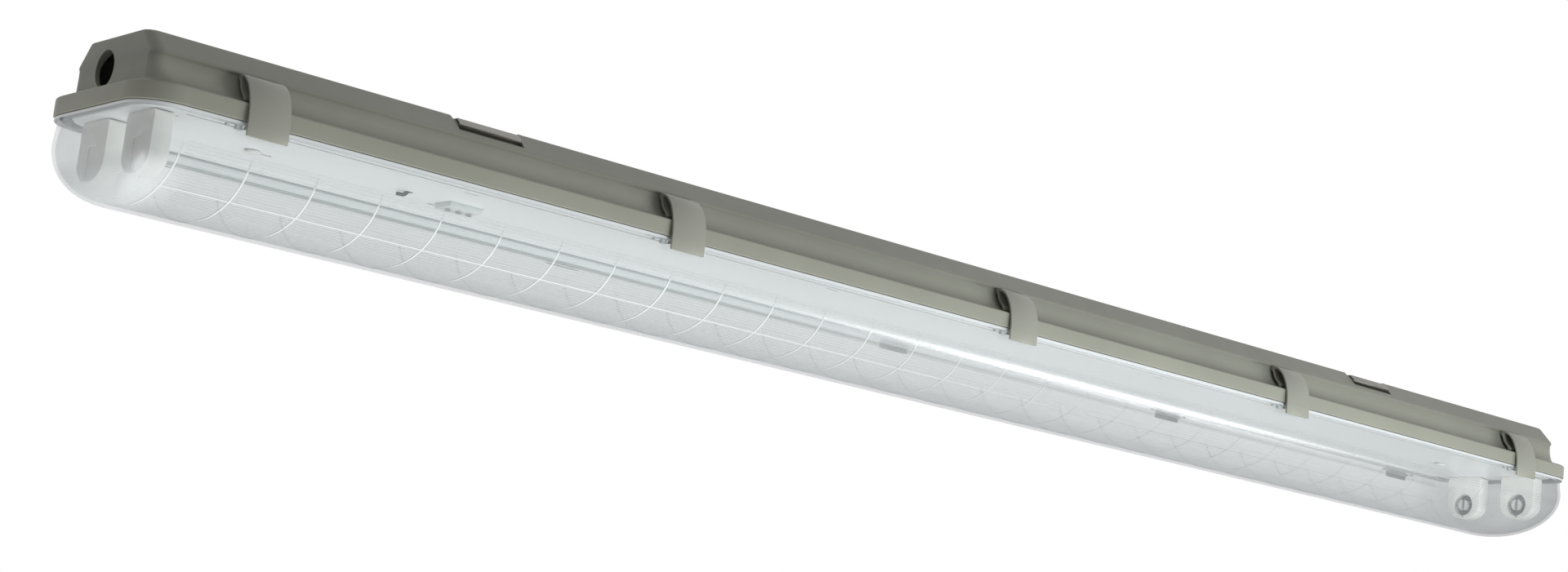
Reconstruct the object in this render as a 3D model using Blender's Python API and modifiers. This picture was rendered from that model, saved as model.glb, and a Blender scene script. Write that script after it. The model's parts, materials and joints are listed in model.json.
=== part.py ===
"""Vapor tight ceiling luminaire for two straight lamps, shown without its lamps.

The length runs along X, the width along Y, and Z points up to the ceiling. The origin is the
centre of the housing's flat top, so the whole luminaire hangs below it. Lengths are in metres.
The near side is -Y and the left end, with the cable entry, is -X.
"""

import math

import bmesh
import bpy
from mathutils import Matrix, Vector

# Lamps that the luminaire takes
LAMP_SPAN = 1.2000
LAMP_PITCH = 0.0500
LAMP_AXIS_DEPTH = 0.0635

# Housing
END_ROOM = 0.0310
HOUSING_WIDTH = 0.1180
TOP_WIDTH = 0.0660
TOP_EDGE = 0.0012
TOP_CORNER = 0.0060
CREASE_WIDTH = 0.0900
CREASE_DEPTH = 0.0126
CREASE_CORNER = 0.0070
UNDERCUT = 0.0015
COVE_DEPTH = 0.0150
COVE_FOOT_DEPTH = 0.0305
END_WALL_INSET = 0.0098
END_COVE_HEIGHT = 0.0036
RIM_STEP = 0.0010
RIM_TOP_DEPTH = 0.0313
RIM_DEPTH = 0.0405
RIM_CORNER = 0.0240
WALL = 0.0025
TOP_WALL = 0.0060
LEDGE_THICKNESS = 0.0030
GROOVE_WIDTH = 0.0045
LIP_WIDTH = 0.0020
LIP_DEPTH = 0.0390

# Cable entry in the left end wall
ENTRY_DIAMETER = 0.0205
ENTRY_OFFSET = 0.0090
ENTRY_DEPTH = 0.0168

# Saddles in the top for the ceiling brackets, and the brackets
SADDLE_MARGIN = 0.2310
SADDLE_SHIFT = 0.0105
SADDLE_WIDTH = 0.0470
SADDLE_DEPTH = 0.0030
SLOT_BAR = 0.0036
SLOT_HEIGHT = 0.0050
SLOT_LENGTH = 0.0440
SLOT_CUT_DEPTH = 0.0022
BRACKET_WIDTH = 0.0420
BRACKET_THICKNESS = 0.0010
BRACKET_HOOK = 0.0018
BRACKET_HOLE_DIAMETER = 0.0060
BRACKET_HOLE_LENGTH = 0.0130

# Running and seating gaps
GAP = 0.0003
SLIDE_GAP = 0.0008

# Seal and diffuser
SEAL_HEIGHT = 0.0032
TONGUE_THICKNESS = 0.0022
TONGUE_INSET = 0.0034
FLANGE_INSET = 0.0008
FLANGE_HEIGHT = 0.0024
DIFFUSER_INSET = 0.0028
DIFFUSER_DRAFT = 0.0007
BOWL_RISE = 0.0095
BOWL_DROP = 0.0345
BOWL_FLOOR_HALF = 0.0030
BOWL_END_REACH = 0.0200
BOWL_CORNER_SHARE = 0.625
FLOOR_CORNER_SHARE = 0.8
DIFFUSER_WALL = 0.0020

# Gear tray
TRAY_DEPTH = 0.0410
TRAY_SHEET = 0.0008
TRAY_FLANGE = 0.0070
TRAY_BEND = 0.0010
SMALL_HOLE_DIAMETER = 0.0026
SMALL_SLOT_LENGTH = 0.0090
SMALL_SLOT_WIDTH = 0.0024

# Clips that hold the diffuser
CLIP_MARGIN = 0.0710
CLIP_WIDTH = 0.0244
CLIP_THICKNESS = 0.0014
CLIP_CLEARANCE = 0.0014
BARREL_RADIUS = 0.0016
HOOK_BITE = 0.0010
HOOK_SWEEP_GAP = 0.00035
HOOK_NOSE = 0.0007
HOOK_HEIGHT = 0.0030
TAB_HEIGHT = 0.0028
LEG_THICKNESS = 0.0012
LEG_OFFSET = 0.0029
LEG_BEAD_RADIUS = 0.0012

# Lampholders
HOLDER_WIDTH = 0.0300
HOLDER_DROP = 0.0110
HOLDER_THICKNESS = 0.0110
HOLDER_SETBACK = 0.0025
HOLDER_FOOT_WIDTH = 0.0160
HOLDER_FOOT_HEIGHT = 0.0040
SOCKET_DIAMETER = 0.0174
SOCKET_DEPTH = 0.0070
HUB_DIAMETER = 0.0088
ROTOR_DIAMETER = 0.0164
ROTOR_BASE = 0.0012
ROTOR_SLOT_WIDTH = 0.0028
ROTOR_SLOT_DEPTH = 0.0030
CONTACT_POCKET_WIDTH = 0.0080
CONTACT_POCKET_HEIGHT = 0.0180
CONTACT_POCKET_DEPTH = 0.0030
CONTACT_WIDTH = 0.0026
CONTACT_LENGTH = 0.0150
CONTACT_THICKNESS = 0.0005

# Quarter-turn catches that hold the tray, and the housing's posts for them
CATCH_MARGIN = 0.0970
CATCH_HEAD_DIAMETER = 0.0088
CATCH_HEAD_HEIGHT = 0.0013
CATCH_SHANK_DIAMETER = 0.0048
CATCH_SHANK_LENGTH = 0.0110
CATCH_EAR_LENGTH = 0.0090
CATCH_EAR_WIDTH = 0.0022
CATCH_EAR_HEIGHT = 0.0010
POST_DIAMETER = 0.0110
POST_BORE_DEPTH = 0.0100

# Terminal block in its tray opening
TERMINAL_MARGIN = 0.2340
TERMINAL_Y = 0.0035
TERMINAL_LENGTH = 0.0220
TERMINAL_WIDTH = 0.0160
TERMINAL_DROP = 0.0030
TERMINAL_RISE = 0.0120
TERMINAL_FLANGE_REACH = 0.0030
TERMINAL_FLANGE_THICKNESS = 0.0018
TERMINAL_OPENING_EXTRA = 0.0012
TERMINAL_SCREW_DIAMETER = 0.0034
TERMINAL_SCREW_HEIGHT = 0.0010

# Electronic ballast on top of the tray
BALLAST_X = 0.0600
BALLAST_LENGTH = 0.2300
BALLAST_WIDTH = 0.0400
BALLAST_HEIGHT = 0.0240
BALLAST_EAR = 0.0120
BALLAST_EAR_THICKNESS = 0.0014
BALLAST_SCREW_DIAMETER = 0.0064
BALLAST_SCREW_HEIGHT = 0.0022

# Leads that run along the tray
LEAD_DIAMETER = 0.0022
LEAD_LANE_Y = 0.0330
LEAD_BEND = 0.0160
LEAD_HOLE_DIAMETER = 0.0060
LEAD_HOLE_REACH = 0.0360
LEAD_HOLE_Y = 0.0020
LEAD_END_DROP = 0.0022
LEAD_END_RUN = 0.0070

OVERRUN = 0.0020
WELD = 0.000001

CORNER_STEPS = 7
COVE_ANGLES = (0, 20, 40, 50, 60, 70, 80, 90)
INNER_COVE_ANGLES = (50, 35, 18, 0)
BOWL_STEPS = 10
CLIP_ROWS = (("near", -1), ("far", 1))
CLIP_PLACES = (-2, -1, 0, 1, 2)
SIDES = (("left", -1), ("right", 1))

# Small tray slots: centre along X, centre along Y, both as shares of the tray's half length and half width
TRAY_SLOT_SHARES = (
    (-0.845, 0.07), (-0.667, -0.68), (-0.232, -0.72), (0.260, -0.66), (0.845, 0.07), (-0.653, 0.34),
)
TRAY_HOLE_SHARES = ((-0.962, -0.66), (0.962, -0.66), (-0.962, 0.66), (0.962, 0.66))

# Places, heights and half sizes that several pieces share
HOUSING_LENGTH = LAMP_SPAN + 2 * END_ROOM
RIM_HALF_LENGTH = HOUSING_LENGTH / 2
CLIP_SPACING = (HOUSING_LENGTH - 2 * CLIP_MARGIN) / (CLIP_PLACES[-1] - CLIP_PLACES[0])
SADDLE_SPACING = HOUSING_LENGTH - 2 * SADDLE_MARGIN
CATCH_SPACING = HOUSING_LENGTH - 2 * CATCH_MARGIN
TERMINAL_X = TERMINAL_MARGIN - RIM_HALF_LENGTH
LEAD_HOLE_X = TERMINAL_X - LEAD_HOLE_REACH
RIM_HALF_WIDTH = HOUSING_WIDTH / 2
COVE_TOP_HALF = CREASE_WIDTH / 2 - UNDERCUT
COVE_FOOT_HALF = RIM_HALF_WIDTH - RIM_STEP
COVE_REACH = COVE_FOOT_HALF - COVE_TOP_HALF
COVE_DROP = COVE_FOOT_DEPTH - COVE_DEPTH
GROOVE_ROOF_DEPTH = COVE_FOOT_DEPTH + LEDGE_THICKNESS
LIP_OUTER_INSET = WALL + GROOVE_WIDTH
LIP_INNER_INSET = LIP_OUTER_INSET + LIP_WIDTH
FLANGE_TOP_DEPTH = RIM_DEPTH + GAP
FLANGE_FOOT_DEPTH = FLANGE_TOP_DEPTH + FLANGE_HEIGHT
FLANGE_HALF = RIM_HALF_WIDTH - FLANGE_INSET
SEAL_FOOT_DEPTH = GROOVE_ROOF_DEPTH + GAP + SEAL_HEIGHT
BOWL_INSET = DIFFUSER_INSET + DIFFUSER_DRAFT
BOWL_DEPTH = LAMP_AXIS_DEPTH - BOWL_RISE
BOWL_REACH = RIM_HALF_WIDTH - BOWL_INSET - BOWL_FLOOR_HALF
TRAY_INSET = LIP_INNER_INSET + SLIDE_GAP
TRAY_HALF_LENGTH = RIM_HALF_LENGTH - TRAY_INSET
TRAY_HALF_WIDTH = RIM_HALF_WIDTH - TRAY_INSET
TRAY_TOP_DEPTH = TRAY_DEPTH - TRAY_SHEET
PIVOT_HALF = COVE_TOP_HALF + GAP + BARREL_RADIUS
PIVOT_DEPTH = COVE_DEPTH + GAP
HOLDER_FRONT = LAMP_SPAN / 2 + HOLDER_SETBACK
HOLDER_CENTRE = HOLDER_FRONT + HOLDER_THICKNESS / 2
LAMP_OFFSET = LAMP_PITCH / 2


def clear_scene():
    """Start from an empty scene with one collection for the parts and one for the cutters."""
    for old in list(bpy.data.objects):
        bpy.data.objects.remove(old, do_unlink=True)
    parts = bpy.data.collections.new("vapor_tight_light_fixture")
    cutters = bpy.data.collections.new("cutters")
    bpy.context.scene.collection.children.link(parts)
    bpy.context.scene.collection.children.link(cutters)
    return parts, cutters


PARTS, CUTTERS = clear_scene()


def finish(name, colour, roughness, metallic=0.0, alpha=1.0):
    """A material with the colour and gloss of one kind of piece."""
    material = bpy.data.materials.new(name)
    material.use_nodes = True
    shader = material.node_tree.nodes["Principled BSDF"]
    shader.inputs["Base Color"].default_value = (*colour, 1.0)
    shader.inputs["Roughness"].default_value = roughness
    shader.inputs["Metallic"].default_value = metallic
    shader.inputs["Alpha"].default_value = alpha
    return material


HOUSING_GREY = finish("housing_grey", (0.22, 0.22, 0.19), 0.50)
CLIP_GREY = finish("clip_grey", (0.16, 0.15, 0.11), 0.42)
SEAL_FOAM = finish("seal_foam", (0.62, 0.62, 0.60), 0.90)
CLEAR_PLASTIC = finish("clear_plastic", (0.86, 0.90, 0.91), 0.08, alpha=0.35)
WHITE_STEEL = finish("white_painted_steel", (0.78, 0.80, 0.80), 0.35)
HOLDER_WHITE = finish("lampholder_white", (0.74, 0.73, 0.67), 0.40)
ROTOR_WHITE = finish("rotor_white", (0.78, 0.78, 0.74), 0.40)
BRASS = finish("brass", (0.72, 0.53, 0.24), 0.35, metallic=1.0)
STAINLESS = finish("stainless_steel", (0.58, 0.57, 0.54), 0.32, metallic=1.0)
TERMINAL_GREY = finish("terminal_grey", (0.45, 0.47, 0.46), 0.45)
BALLAST_CASE = finish("ballast_case", (0.70, 0.71, 0.70), 0.40)
SCREW_STEEL = finish("screw_steel", (0.55, 0.55, 0.54), 0.30, metallic=1.0)
LEAD_WHITE = finish("lead_white", (0.72, 0.72, 0.70), 0.45)
LEAD_BLACK = finish("lead_black", (0.03, 0.03, 0.03), 0.45)


def place(name, mesh, material, collection=None, location=(0, 0, 0)):
    """Put a mesh into the scene as a named piece with its material."""
    piece = bpy.data.objects.new(name, mesh)
    (collection or PARTS).objects.link(piece)
    piece.location = location
    if material and not mesh.materials:
        mesh.materials.append(material)
    return piece


def smooth(mesh, angle=35):
    """Shade round surfaces smooth and keep the edges that are sharper than the angle."""
    mesh.shade_smooth()
    mesh.set_sharp_from_angle(angle=math.radians(angle))


def plan_ring(bm, half_length, half_width, corner, depth):
    """Vertices of one rounded rectangle at a depth below the top, anticlockwise from above."""
    ring = []
    corner = min(corner, half_width)
    for x_sign, y_sign, quarter in ((1, 1, 0), (-1, 1, 1), (-1, -1, 2), (1, -1, 3)):
        centre_x = x_sign * (half_length - corner)
        centre_y = y_sign * (half_width - corner)
        for step in range(CORNER_STEPS + 1):
            angle = math.radians(90) * (quarter + step / CORNER_STEPS)
            ring.append(bm.verts.new((
                centre_x + corner * math.cos(angle), centre_y + corner * math.sin(angle), -depth)))
    return ring


def loft(name, rings, closed=False):
    """A solid between rounded rectangles: each ring is half length, half width, corner and depth.

    An open loft gets a flat cap at its first and last ring. A closed one runs from its last ring
    back to its first, as a frame does.
    """
    bm = bmesh.new()
    loops = [plan_ring(bm, *ring) for ring in rings]
    pairs = list(zip(loops, loops[1:]))
    if closed:
        pairs.append((loops[-1], loops[0]))
    for upper, lower in pairs:
        for index, vertex in enumerate(upper):
            after = (index + 1) % len(upper)
            bm.faces.new((vertex, upper[after], lower[after], lower[index]))
    if not closed:
        bm.faces.new(loops[0])
        bm.faces.new(reversed(loops[-1]))
    bmesh.ops.recalc_face_normals(bm, faces=bm.faces)
    mesh = bpy.data.meshes.new(name)
    bm.to_mesh(mesh)
    bm.free()
    smooth(mesh)
    return mesh


def inset_ring(inset, corner, depth, end_inset=None):
    """A ring that lies inside the housing's rim by an inset at its sides and its ends."""
    end_inset = inset if end_inset is None else end_inset
    return (RIM_HALF_LENGTH - end_inset, RIM_HALF_WIDTH - inset, corner, depth)


def mesh_of_curve(name, curve, points, cyclic):
    """A closed mesh of a curve through points, with its caps welded on."""
    spline = curve.splines.new("POLY")
    spline.points.add(len(points) - 1)
    for target, point in zip(spline.points, points):
        target.co = (*point, 1)
    spline.use_cyclic_u = cyclic
    guide = bpy.data.objects.new(name, curve)
    PARTS.objects.link(guide)
    depsgraph = bpy.context.evaluated_depsgraph_get()
    mesh = bpy.data.meshes.new_from_object(guide.evaluated_get(depsgraph))
    bm = bmesh.new()
    bm.from_mesh(mesh)
    bmesh.ops.remove_doubles(bm, verts=bm.verts, dist=WELD)
    bmesh.ops.recalc_face_normals(bm, faces=bm.faces)
    bm.to_mesh(mesh)
    bm.free()
    bpy.data.objects.remove(guide)
    bpy.data.curves.remove(curve)
    mesh.name = name
    return mesh


def outline_mesh(name, points, thickness):
    """A flat outline, given as points in its own XY plane, with a thickness along Z."""
    curve = bpy.data.curves.new(name, "CURVE")
    curve.dimensions = "2D"
    curve.fill_mode = "BOTH"
    curve.extrude = thickness / 2
    return mesh_of_curve(name, curve, [(across, up, 0) for across, up in points], True)


# Outline planes: across and up become the world's Y and Z, or X and Z
FACING_LENGTH = Matrix(((0, 0, 1), (1, 0, 0), (0, 1, 0))).to_4x4()
FACING_LENGTH_TURNED = Matrix(((0, 0, -1), (-1, 0, 0), (0, 1, 0))).to_4x4()
FACING_NEAR = Matrix(((1, 0, 0), (0, 0, -1), (0, 1, 0))).to_4x4()


def box(name, size, centre, material=None, collection=None):
    """A block of a size about a centre."""
    bm = bmesh.new()
    bmesh.ops.create_cube(bm, size=1.0)
    bmesh.ops.scale(bm, vec=size, verts=bm.verts)
    mesh = bpy.data.meshes.new(name)
    bm.to_mesh(mesh)
    bm.free()
    return place(name, mesh, material, collection, centre)


def cylinder(name, radius, length, centre, axis="Z", material=None, collection=None, sides=32):
    """A round bar of a radius and length about a centre, along one of the world's axes."""
    bm = bmesh.new()
    bmesh.ops.create_cone(
        bm, cap_ends=True, segments=sides, radius1=radius, radius2=radius, depth=length)
    turn = {"X": Matrix.Rotation(math.radians(90), 4, "Y"),
            "Y": Matrix.Rotation(math.radians(90), 4, "X"),
            "Z": Matrix.Identity(4)}[axis]
    bmesh.ops.transform(bm, matrix=turn, verts=bm.verts)
    mesh = bpy.data.meshes.new(name)
    bm.to_mesh(mesh)
    bm.free()
    smooth(mesh)
    return place(name, mesh, material, collection, centre)


def cut(piece, cutter, operation="DIFFERENCE"):
    """Cut a piece with a hidden cutter, or join the cutter to it."""
    if cutter.name not in CUTTERS.objects:
        for owner in list(cutter.users_collection):
            owner.objects.unlink(cutter)
        CUTTERS.objects.link(cutter)
    cutter.hide_render = True
    cutter.display_type = "WIRE"
    modifier = piece.modifiers.new(cutter.name, "BOOLEAN")
    modifier.operation = operation
    modifier.solver = "EXACT"
    modifier.object = cutter


def turned(name, profile, material, location, axis="Z", steps=32):
    """A turned piece: its profile's points are radius and height, from its top to its foot."""
    mesh = bpy.data.meshes.new(name)
    points = [(radius, 0, height) for radius, height in profile]
    mesh.from_pydata(points, [(i, i + 1) for i in range(len(points) - 1)], [])
    piece = place(name, mesh, material, location=location)
    screw = piece.modifiers.new("turn", "SCREW")
    screw.steps = steps
    screw.render_steps = steps
    screw.use_merge_vertices = True
    screw.merge_threshold = WELD
    if axis == "X":
        piece.rotation_euler = (0, math.radians(90), 0)
    return piece


def cove_point(angle, growth=0.0):
    """Half width and depth on the side wall's cove, moved outward from its centre by a growth."""
    turn = math.radians(angle)
    return (COVE_FOOT_HALF - (COVE_REACH + growth) * math.cos(turn),
            COVE_DEPTH + (COVE_DROP + growth) * math.sin(turn))


def end_inset_at(depth):
    """How far the end wall lies inside the rim: straight down, with a small cove at its foot."""
    cove_start = COVE_FOOT_DEPTH - END_COVE_HEIGHT
    if depth <= cove_start:
        return END_WALL_INSET
    share = min(1.0, (depth - cove_start) / END_COVE_HEIGHT)
    return RIM_STEP + (END_WALL_INSET - RIM_STEP) * math.sqrt(1.0 - share * share)


def chamfer_half(depth):
    """Half width of the sloping face between the top's edge and the crease, at a depth."""
    return TOP_WIDTH / 2 + (CREASE_WIDTH - TOP_WIDTH) / 2 * depth / CREASE_DEPTH


def chamfer_axes():
    """Unit vectors down the slope and out of it, as width and height."""
    down = Vector(((CREASE_WIDTH - TOP_WIDTH) / 2, -CREASE_DEPTH)).normalized()
    return down, Vector((-down.y, down.x))


def build_housing():
    """The canopy: flat top, sloping shoulders, coved sides, rim, seal groove and posts."""
    crease_half = CREASE_WIDTH / 2
    cove_corner_growth = RIM_CORNER - CREASE_CORNER
    rings = [
        (RIM_HALF_LENGTH - END_WALL_INSET - TOP_EDGE, TOP_WIDTH / 2 - TOP_EDGE, TOP_CORNER, 0),
        (RIM_HALF_LENGTH - END_WALL_INSET, chamfer_half(TOP_EDGE), TOP_CORNER, TOP_EDGE),
        (RIM_HALF_LENGTH - END_WALL_INSET, crease_half, CREASE_CORNER, CREASE_DEPTH),
    ]
    for angle in COVE_ANGLES:
        half_width, depth = cove_point(angle)
        share = (half_width - COVE_TOP_HALF) / COVE_REACH
        rings.append((RIM_HALF_LENGTH - end_inset_at(depth), half_width,
                      CREASE_CORNER + cove_corner_growth * share, depth))
    rings += [
        inset_ring(0, RIM_CORNER, RIM_TOP_DEPTH),
        inset_ring(0, RIM_CORNER, RIM_DEPTH),
        inset_ring(WALL, RIM_CORNER - WALL, RIM_DEPTH),
        inset_ring(WALL, RIM_CORNER - WALL, GROOVE_ROOF_DEPTH),
        inset_ring(LIP_OUTER_INSET, RIM_CORNER - LIP_OUTER_INSET, GROOVE_ROOF_DEPTH),
        inset_ring(LIP_OUTER_INSET, RIM_CORNER - LIP_OUTER_INSET, LIP_DEPTH),
        inset_ring(LIP_INNER_INSET, RIM_CORNER - LIP_INNER_INSET, LIP_DEPTH),
        inset_ring(LIP_INNER_INSET, RIM_CORNER - LIP_INNER_INSET, GROOVE_ROOF_DEPTH),
    ]
    inner_half_length = RIM_HALF_LENGTH - END_WALL_INSET - WALL
    inner_corner = CREASE_CORNER - WALL
    for angle in INNER_COVE_ANGLES:
        half_width, depth = cove_point(angle, WALL)
        rings.append((inner_half_length, half_width, inner_corner, depth))
    rings.append((inner_half_length - WALL, chamfer_half(TOP_WALL) - WALL - WALL, TOP_CORNER, TOP_WALL))
    housing = place("housing", loft("housing", rings), HOUSING_GREY)

    post_foot = TRAY_TOP_DEPTH - GAP - CATCH_EAR_HEIGHT - GAP
    post_top = TOP_WALL - OVERRUN
    for side, sign in SIDES:
        x = sign * CATCH_SPACING / 2
        post = cylinder("post_" + side, POST_DIAMETER / 2, post_foot - post_top,
                        (x, 0, -(post_foot + post_top) / 2), sides=24)
        cut(housing, post, "UNION")
        bore = cylinder("post_bore_" + side, CATCH_SHANK_DIAMETER / 2 + GAP, POST_BORE_DEPTH + OVERRUN,
                        (x, 0, -(post_foot + OVERRUN) + (POST_BORE_DEPTH + OVERRUN) / 2), sides=24)
        cut(housing, bore)

    entry = cylinder("entry_bore", ENTRY_DIAMETER / 2, WALL * 2 + OVERRUN,
                     (-(RIM_HALF_LENGTH - END_WALL_INSET), ENTRY_OFFSET, -ENTRY_DEPTH), "X", sides=40)
    cut(housing, entry)

    down, out = chamfer_axes()
    slope = math.atan2(down.y, down.x)
    for side, sign in SIDES:
        x = sign * SADDLE_SPACING / 2 - SADDLE_SHIFT
        recess = box("saddle_" + side, (SADDLE_WIDTH, CREASE_WIDTH, SADDLE_DEPTH + OVERRUN),
                     (x, 0, -SADDLE_DEPTH + (SADDLE_DEPTH + OVERRUN) / 2))
        cut(housing, recess)
        for row, row_sign in CLIP_ROWS:
            start = Vector((chamfer_half(SADDLE_DEPTH), -SADDLE_DEPTH)) + down * SLOT_BAR
            middle = start + down * (SLOT_HEIGHT / 2) + out * ((OVERRUN - SLOT_CUT_DEPTH) / 2)
            slot = box("bracket_slot_" + side + "_" + row,
                       (SLOT_LENGTH, SLOT_HEIGHT, SLOT_CUT_DEPTH + OVERRUN),
                       (x, row_sign * middle.x, middle.y))
            slot.rotation_euler = (row_sign * slope, 0, 0)
            cut(housing, slot)
    return housing


def build_seal():
    """The foam seal that lies under the groove's roof, all the way round."""
    seal_out = WALL + GAP
    seal_in = LIP_OUTER_INSET - GAP
    top = GROOVE_ROOF_DEPTH + GAP
    rings = [
        inset_ring(seal_out, RIM_CORNER - seal_out, top),
        inset_ring(seal_out, RIM_CORNER - seal_out, SEAL_FOOT_DEPTH),
        inset_ring(seal_in, RIM_CORNER - seal_in, SEAL_FOOT_DEPTH),
        inset_ring(seal_in, RIM_CORNER - seal_in, top),
    ]
    return place("seal", loft("seal", rings, closed=True), SEAL_FOAM)


def bowl_ring(angle, skin):
    """A ring of the diffuser's bowl, at an angle round its lower edge and a skin's depth inside it."""
    turn = math.radians(angle)
    across = max(0, math.cos(turn))
    inset = BOWL_INSET + BOWL_REACH - (BOWL_REACH - skin) * across
    end_inset = BOWL_INSET + BOWL_END_REACH - (BOWL_END_REACH - skin) * across
    floor_corner = FLOOR_CORNER_SHARE * BOWL_FLOOR_HALF
    corner = floor_corner + (BOWL_CORNER_SHARE * RIM_CORNER - floor_corner) * math.sqrt(across) - skin
    return inset_ring(inset, corner, BOWL_DEPTH + (BOWL_DROP - skin) * math.sin(turn), end_inset)


def build_diffuser():
    """The clear cover: a tongue in the seal groove, a flange under the rim, and a deep bowl."""
    tongue_top = SEAL_FOOT_DEPTH + GAP
    tongue_in = TONGUE_INSET + TONGUE_THICKNESS
    angles = [90 * step / BOWL_STEPS for step in range(BOWL_STEPS + 1)]
    rings = [
        inset_ring(TONGUE_INSET, RIM_CORNER - TONGUE_INSET, tongue_top),
        inset_ring(TONGUE_INSET, RIM_CORNER - TONGUE_INSET, FLANGE_TOP_DEPTH),
        inset_ring(FLANGE_INSET, RIM_CORNER - FLANGE_INSET, FLANGE_TOP_DEPTH),
        inset_ring(FLANGE_INSET, RIM_CORNER - FLANGE_INSET, FLANGE_FOOT_DEPTH),
        inset_ring(DIFFUSER_INSET, RIM_CORNER - DIFFUSER_INSET, FLANGE_FOOT_DEPTH),
    ]
    rings += [bowl_ring(angle, 0) for angle in angles]
    rings += [bowl_ring(angle, DIFFUSER_WALL) for angle in reversed(angles)]
    rings.append(inset_ring(tongue_in, RIM_CORNER - tongue_in, tongue_top))
    mesh = loft_frame_with_floor("diffuser", rings, len(angles) + 5)
    return place("diffuser", mesh, CLEAR_PLASTIC)


def loft_frame_with_floor(name, rings, floor_index):
    """A tub: rings run down the outside and up the inside, with a floor where the halves meet."""
    bm = bmesh.new()
    loops = [plan_ring(bm, *ring) for ring in rings]
    for place_index, (upper, lower) in enumerate(zip(loops, loops[1:] + loops[:1])):
        if place_index == floor_index - 1:
            bm.faces.new(reversed(upper))
            bm.faces.new(lower)
            continue
        for index, vertex in enumerate(upper):
            after = (index + 1) % len(upper)
            bm.faces.new((vertex, upper[after], lower[after], lower[index]))
    bmesh.ops.recalc_face_normals(bm, faces=bm.faces)
    mesh = bpy.data.meshes.new(name)
    bm.to_mesh(mesh)
    bm.free()
    smooth(mesh)
    return mesh


def tray_ring(inset, depth):
    """A ring of the gear tray, inside its outer edge by an inset."""
    corner = RIM_CORNER - TRAY_INSET - inset
    return (TRAY_HALF_LENGTH - inset, TRAY_HALF_WIDTH - inset, corner, depth)


def build_tray():
    """The white steel gear tray: a flat sheet with an upturned flange, and its openings."""
    flange_top = TRAY_DEPTH - TRAY_FLANGE
    rings = [
        tray_ring(0, flange_top),
        tray_ring(0, TRAY_DEPTH - TRAY_BEND),
        tray_ring(TRAY_BEND, TRAY_DEPTH),
        tray_ring(TRAY_SHEET + TRAY_BEND, TRAY_TOP_DEPTH),
        tray_ring(TRAY_SHEET, TRAY_TOP_DEPTH - TRAY_BEND),
        tray_ring(TRAY_SHEET, flange_top),
    ]
    tray = place("gear_tray", loft_frame_with_floor("gear_tray", rings, 3), WHITE_STEEL)

    sheet_centre = -(TRAY_DEPTH - TRAY_SHEET / 2)
    cut_height = TRAY_SHEET + OVERRUN
    for side, sign in SIDES:
        for row, row_sign in CLIP_ROWS:
            label = side + "_" + row
            cut(tray, box("holder_slot_" + label,
                          (HOLDER_THICKNESS + 2 * GAP, HOLDER_FOOT_WIDTH + 2 * GAP, cut_height),
                          (sign * HOLDER_CENTRE, row_sign * LAMP_OFFSET, sheet_centre)))
        catch_x = sign * CATCH_SPACING / 2
        cut(tray, cylinder("catch_hole_" + side, CATCH_SHANK_DIAMETER / 2 + GAP, cut_height,
                           (catch_x, 0, sheet_centre), sides=24))
        cut(tray, box("catch_notch_" + side,
                      (CATCH_EAR_LENGTH + SLIDE_GAP, CATCH_EAR_WIDTH + SLIDE_GAP, cut_height),
                      (catch_x, 0, sheet_centre)))
    cut(tray, box("terminal_opening",
                  (TERMINAL_LENGTH + TERMINAL_OPENING_EXTRA, TERMINAL_WIDTH + TERMINAL_OPENING_EXTRA,
                   cut_height), (TERMINAL_X, TERMINAL_Y, sheet_centre)))
    cut(tray, cylinder("lead_hole", LEAD_HOLE_DIAMETER / 2, cut_height,
                       (LEAD_HOLE_X, LEAD_HOLE_Y, sheet_centre), sides=20))
    for number, (along, across) in enumerate(TRAY_SLOT_SHARES, 1):
        cut(tray, box("tray_slot_" + str(number), (SMALL_SLOT_LENGTH, SMALL_SLOT_WIDTH, cut_height),
                      (along * TRAY_HALF_LENGTH, across * TRAY_HALF_WIDTH, sheet_centre)))
    for number, (along, across) in enumerate(TRAY_HOLE_SHARES, 1):
        cut(tray, cylinder("tray_hole_" + str(number), SMALL_HOLE_DIAMETER / 2, cut_height,
                           (along * TRAY_HALF_LENGTH, across * TRAY_HALF_WIDTH, sheet_centre), sides=12))
    return tray


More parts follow.
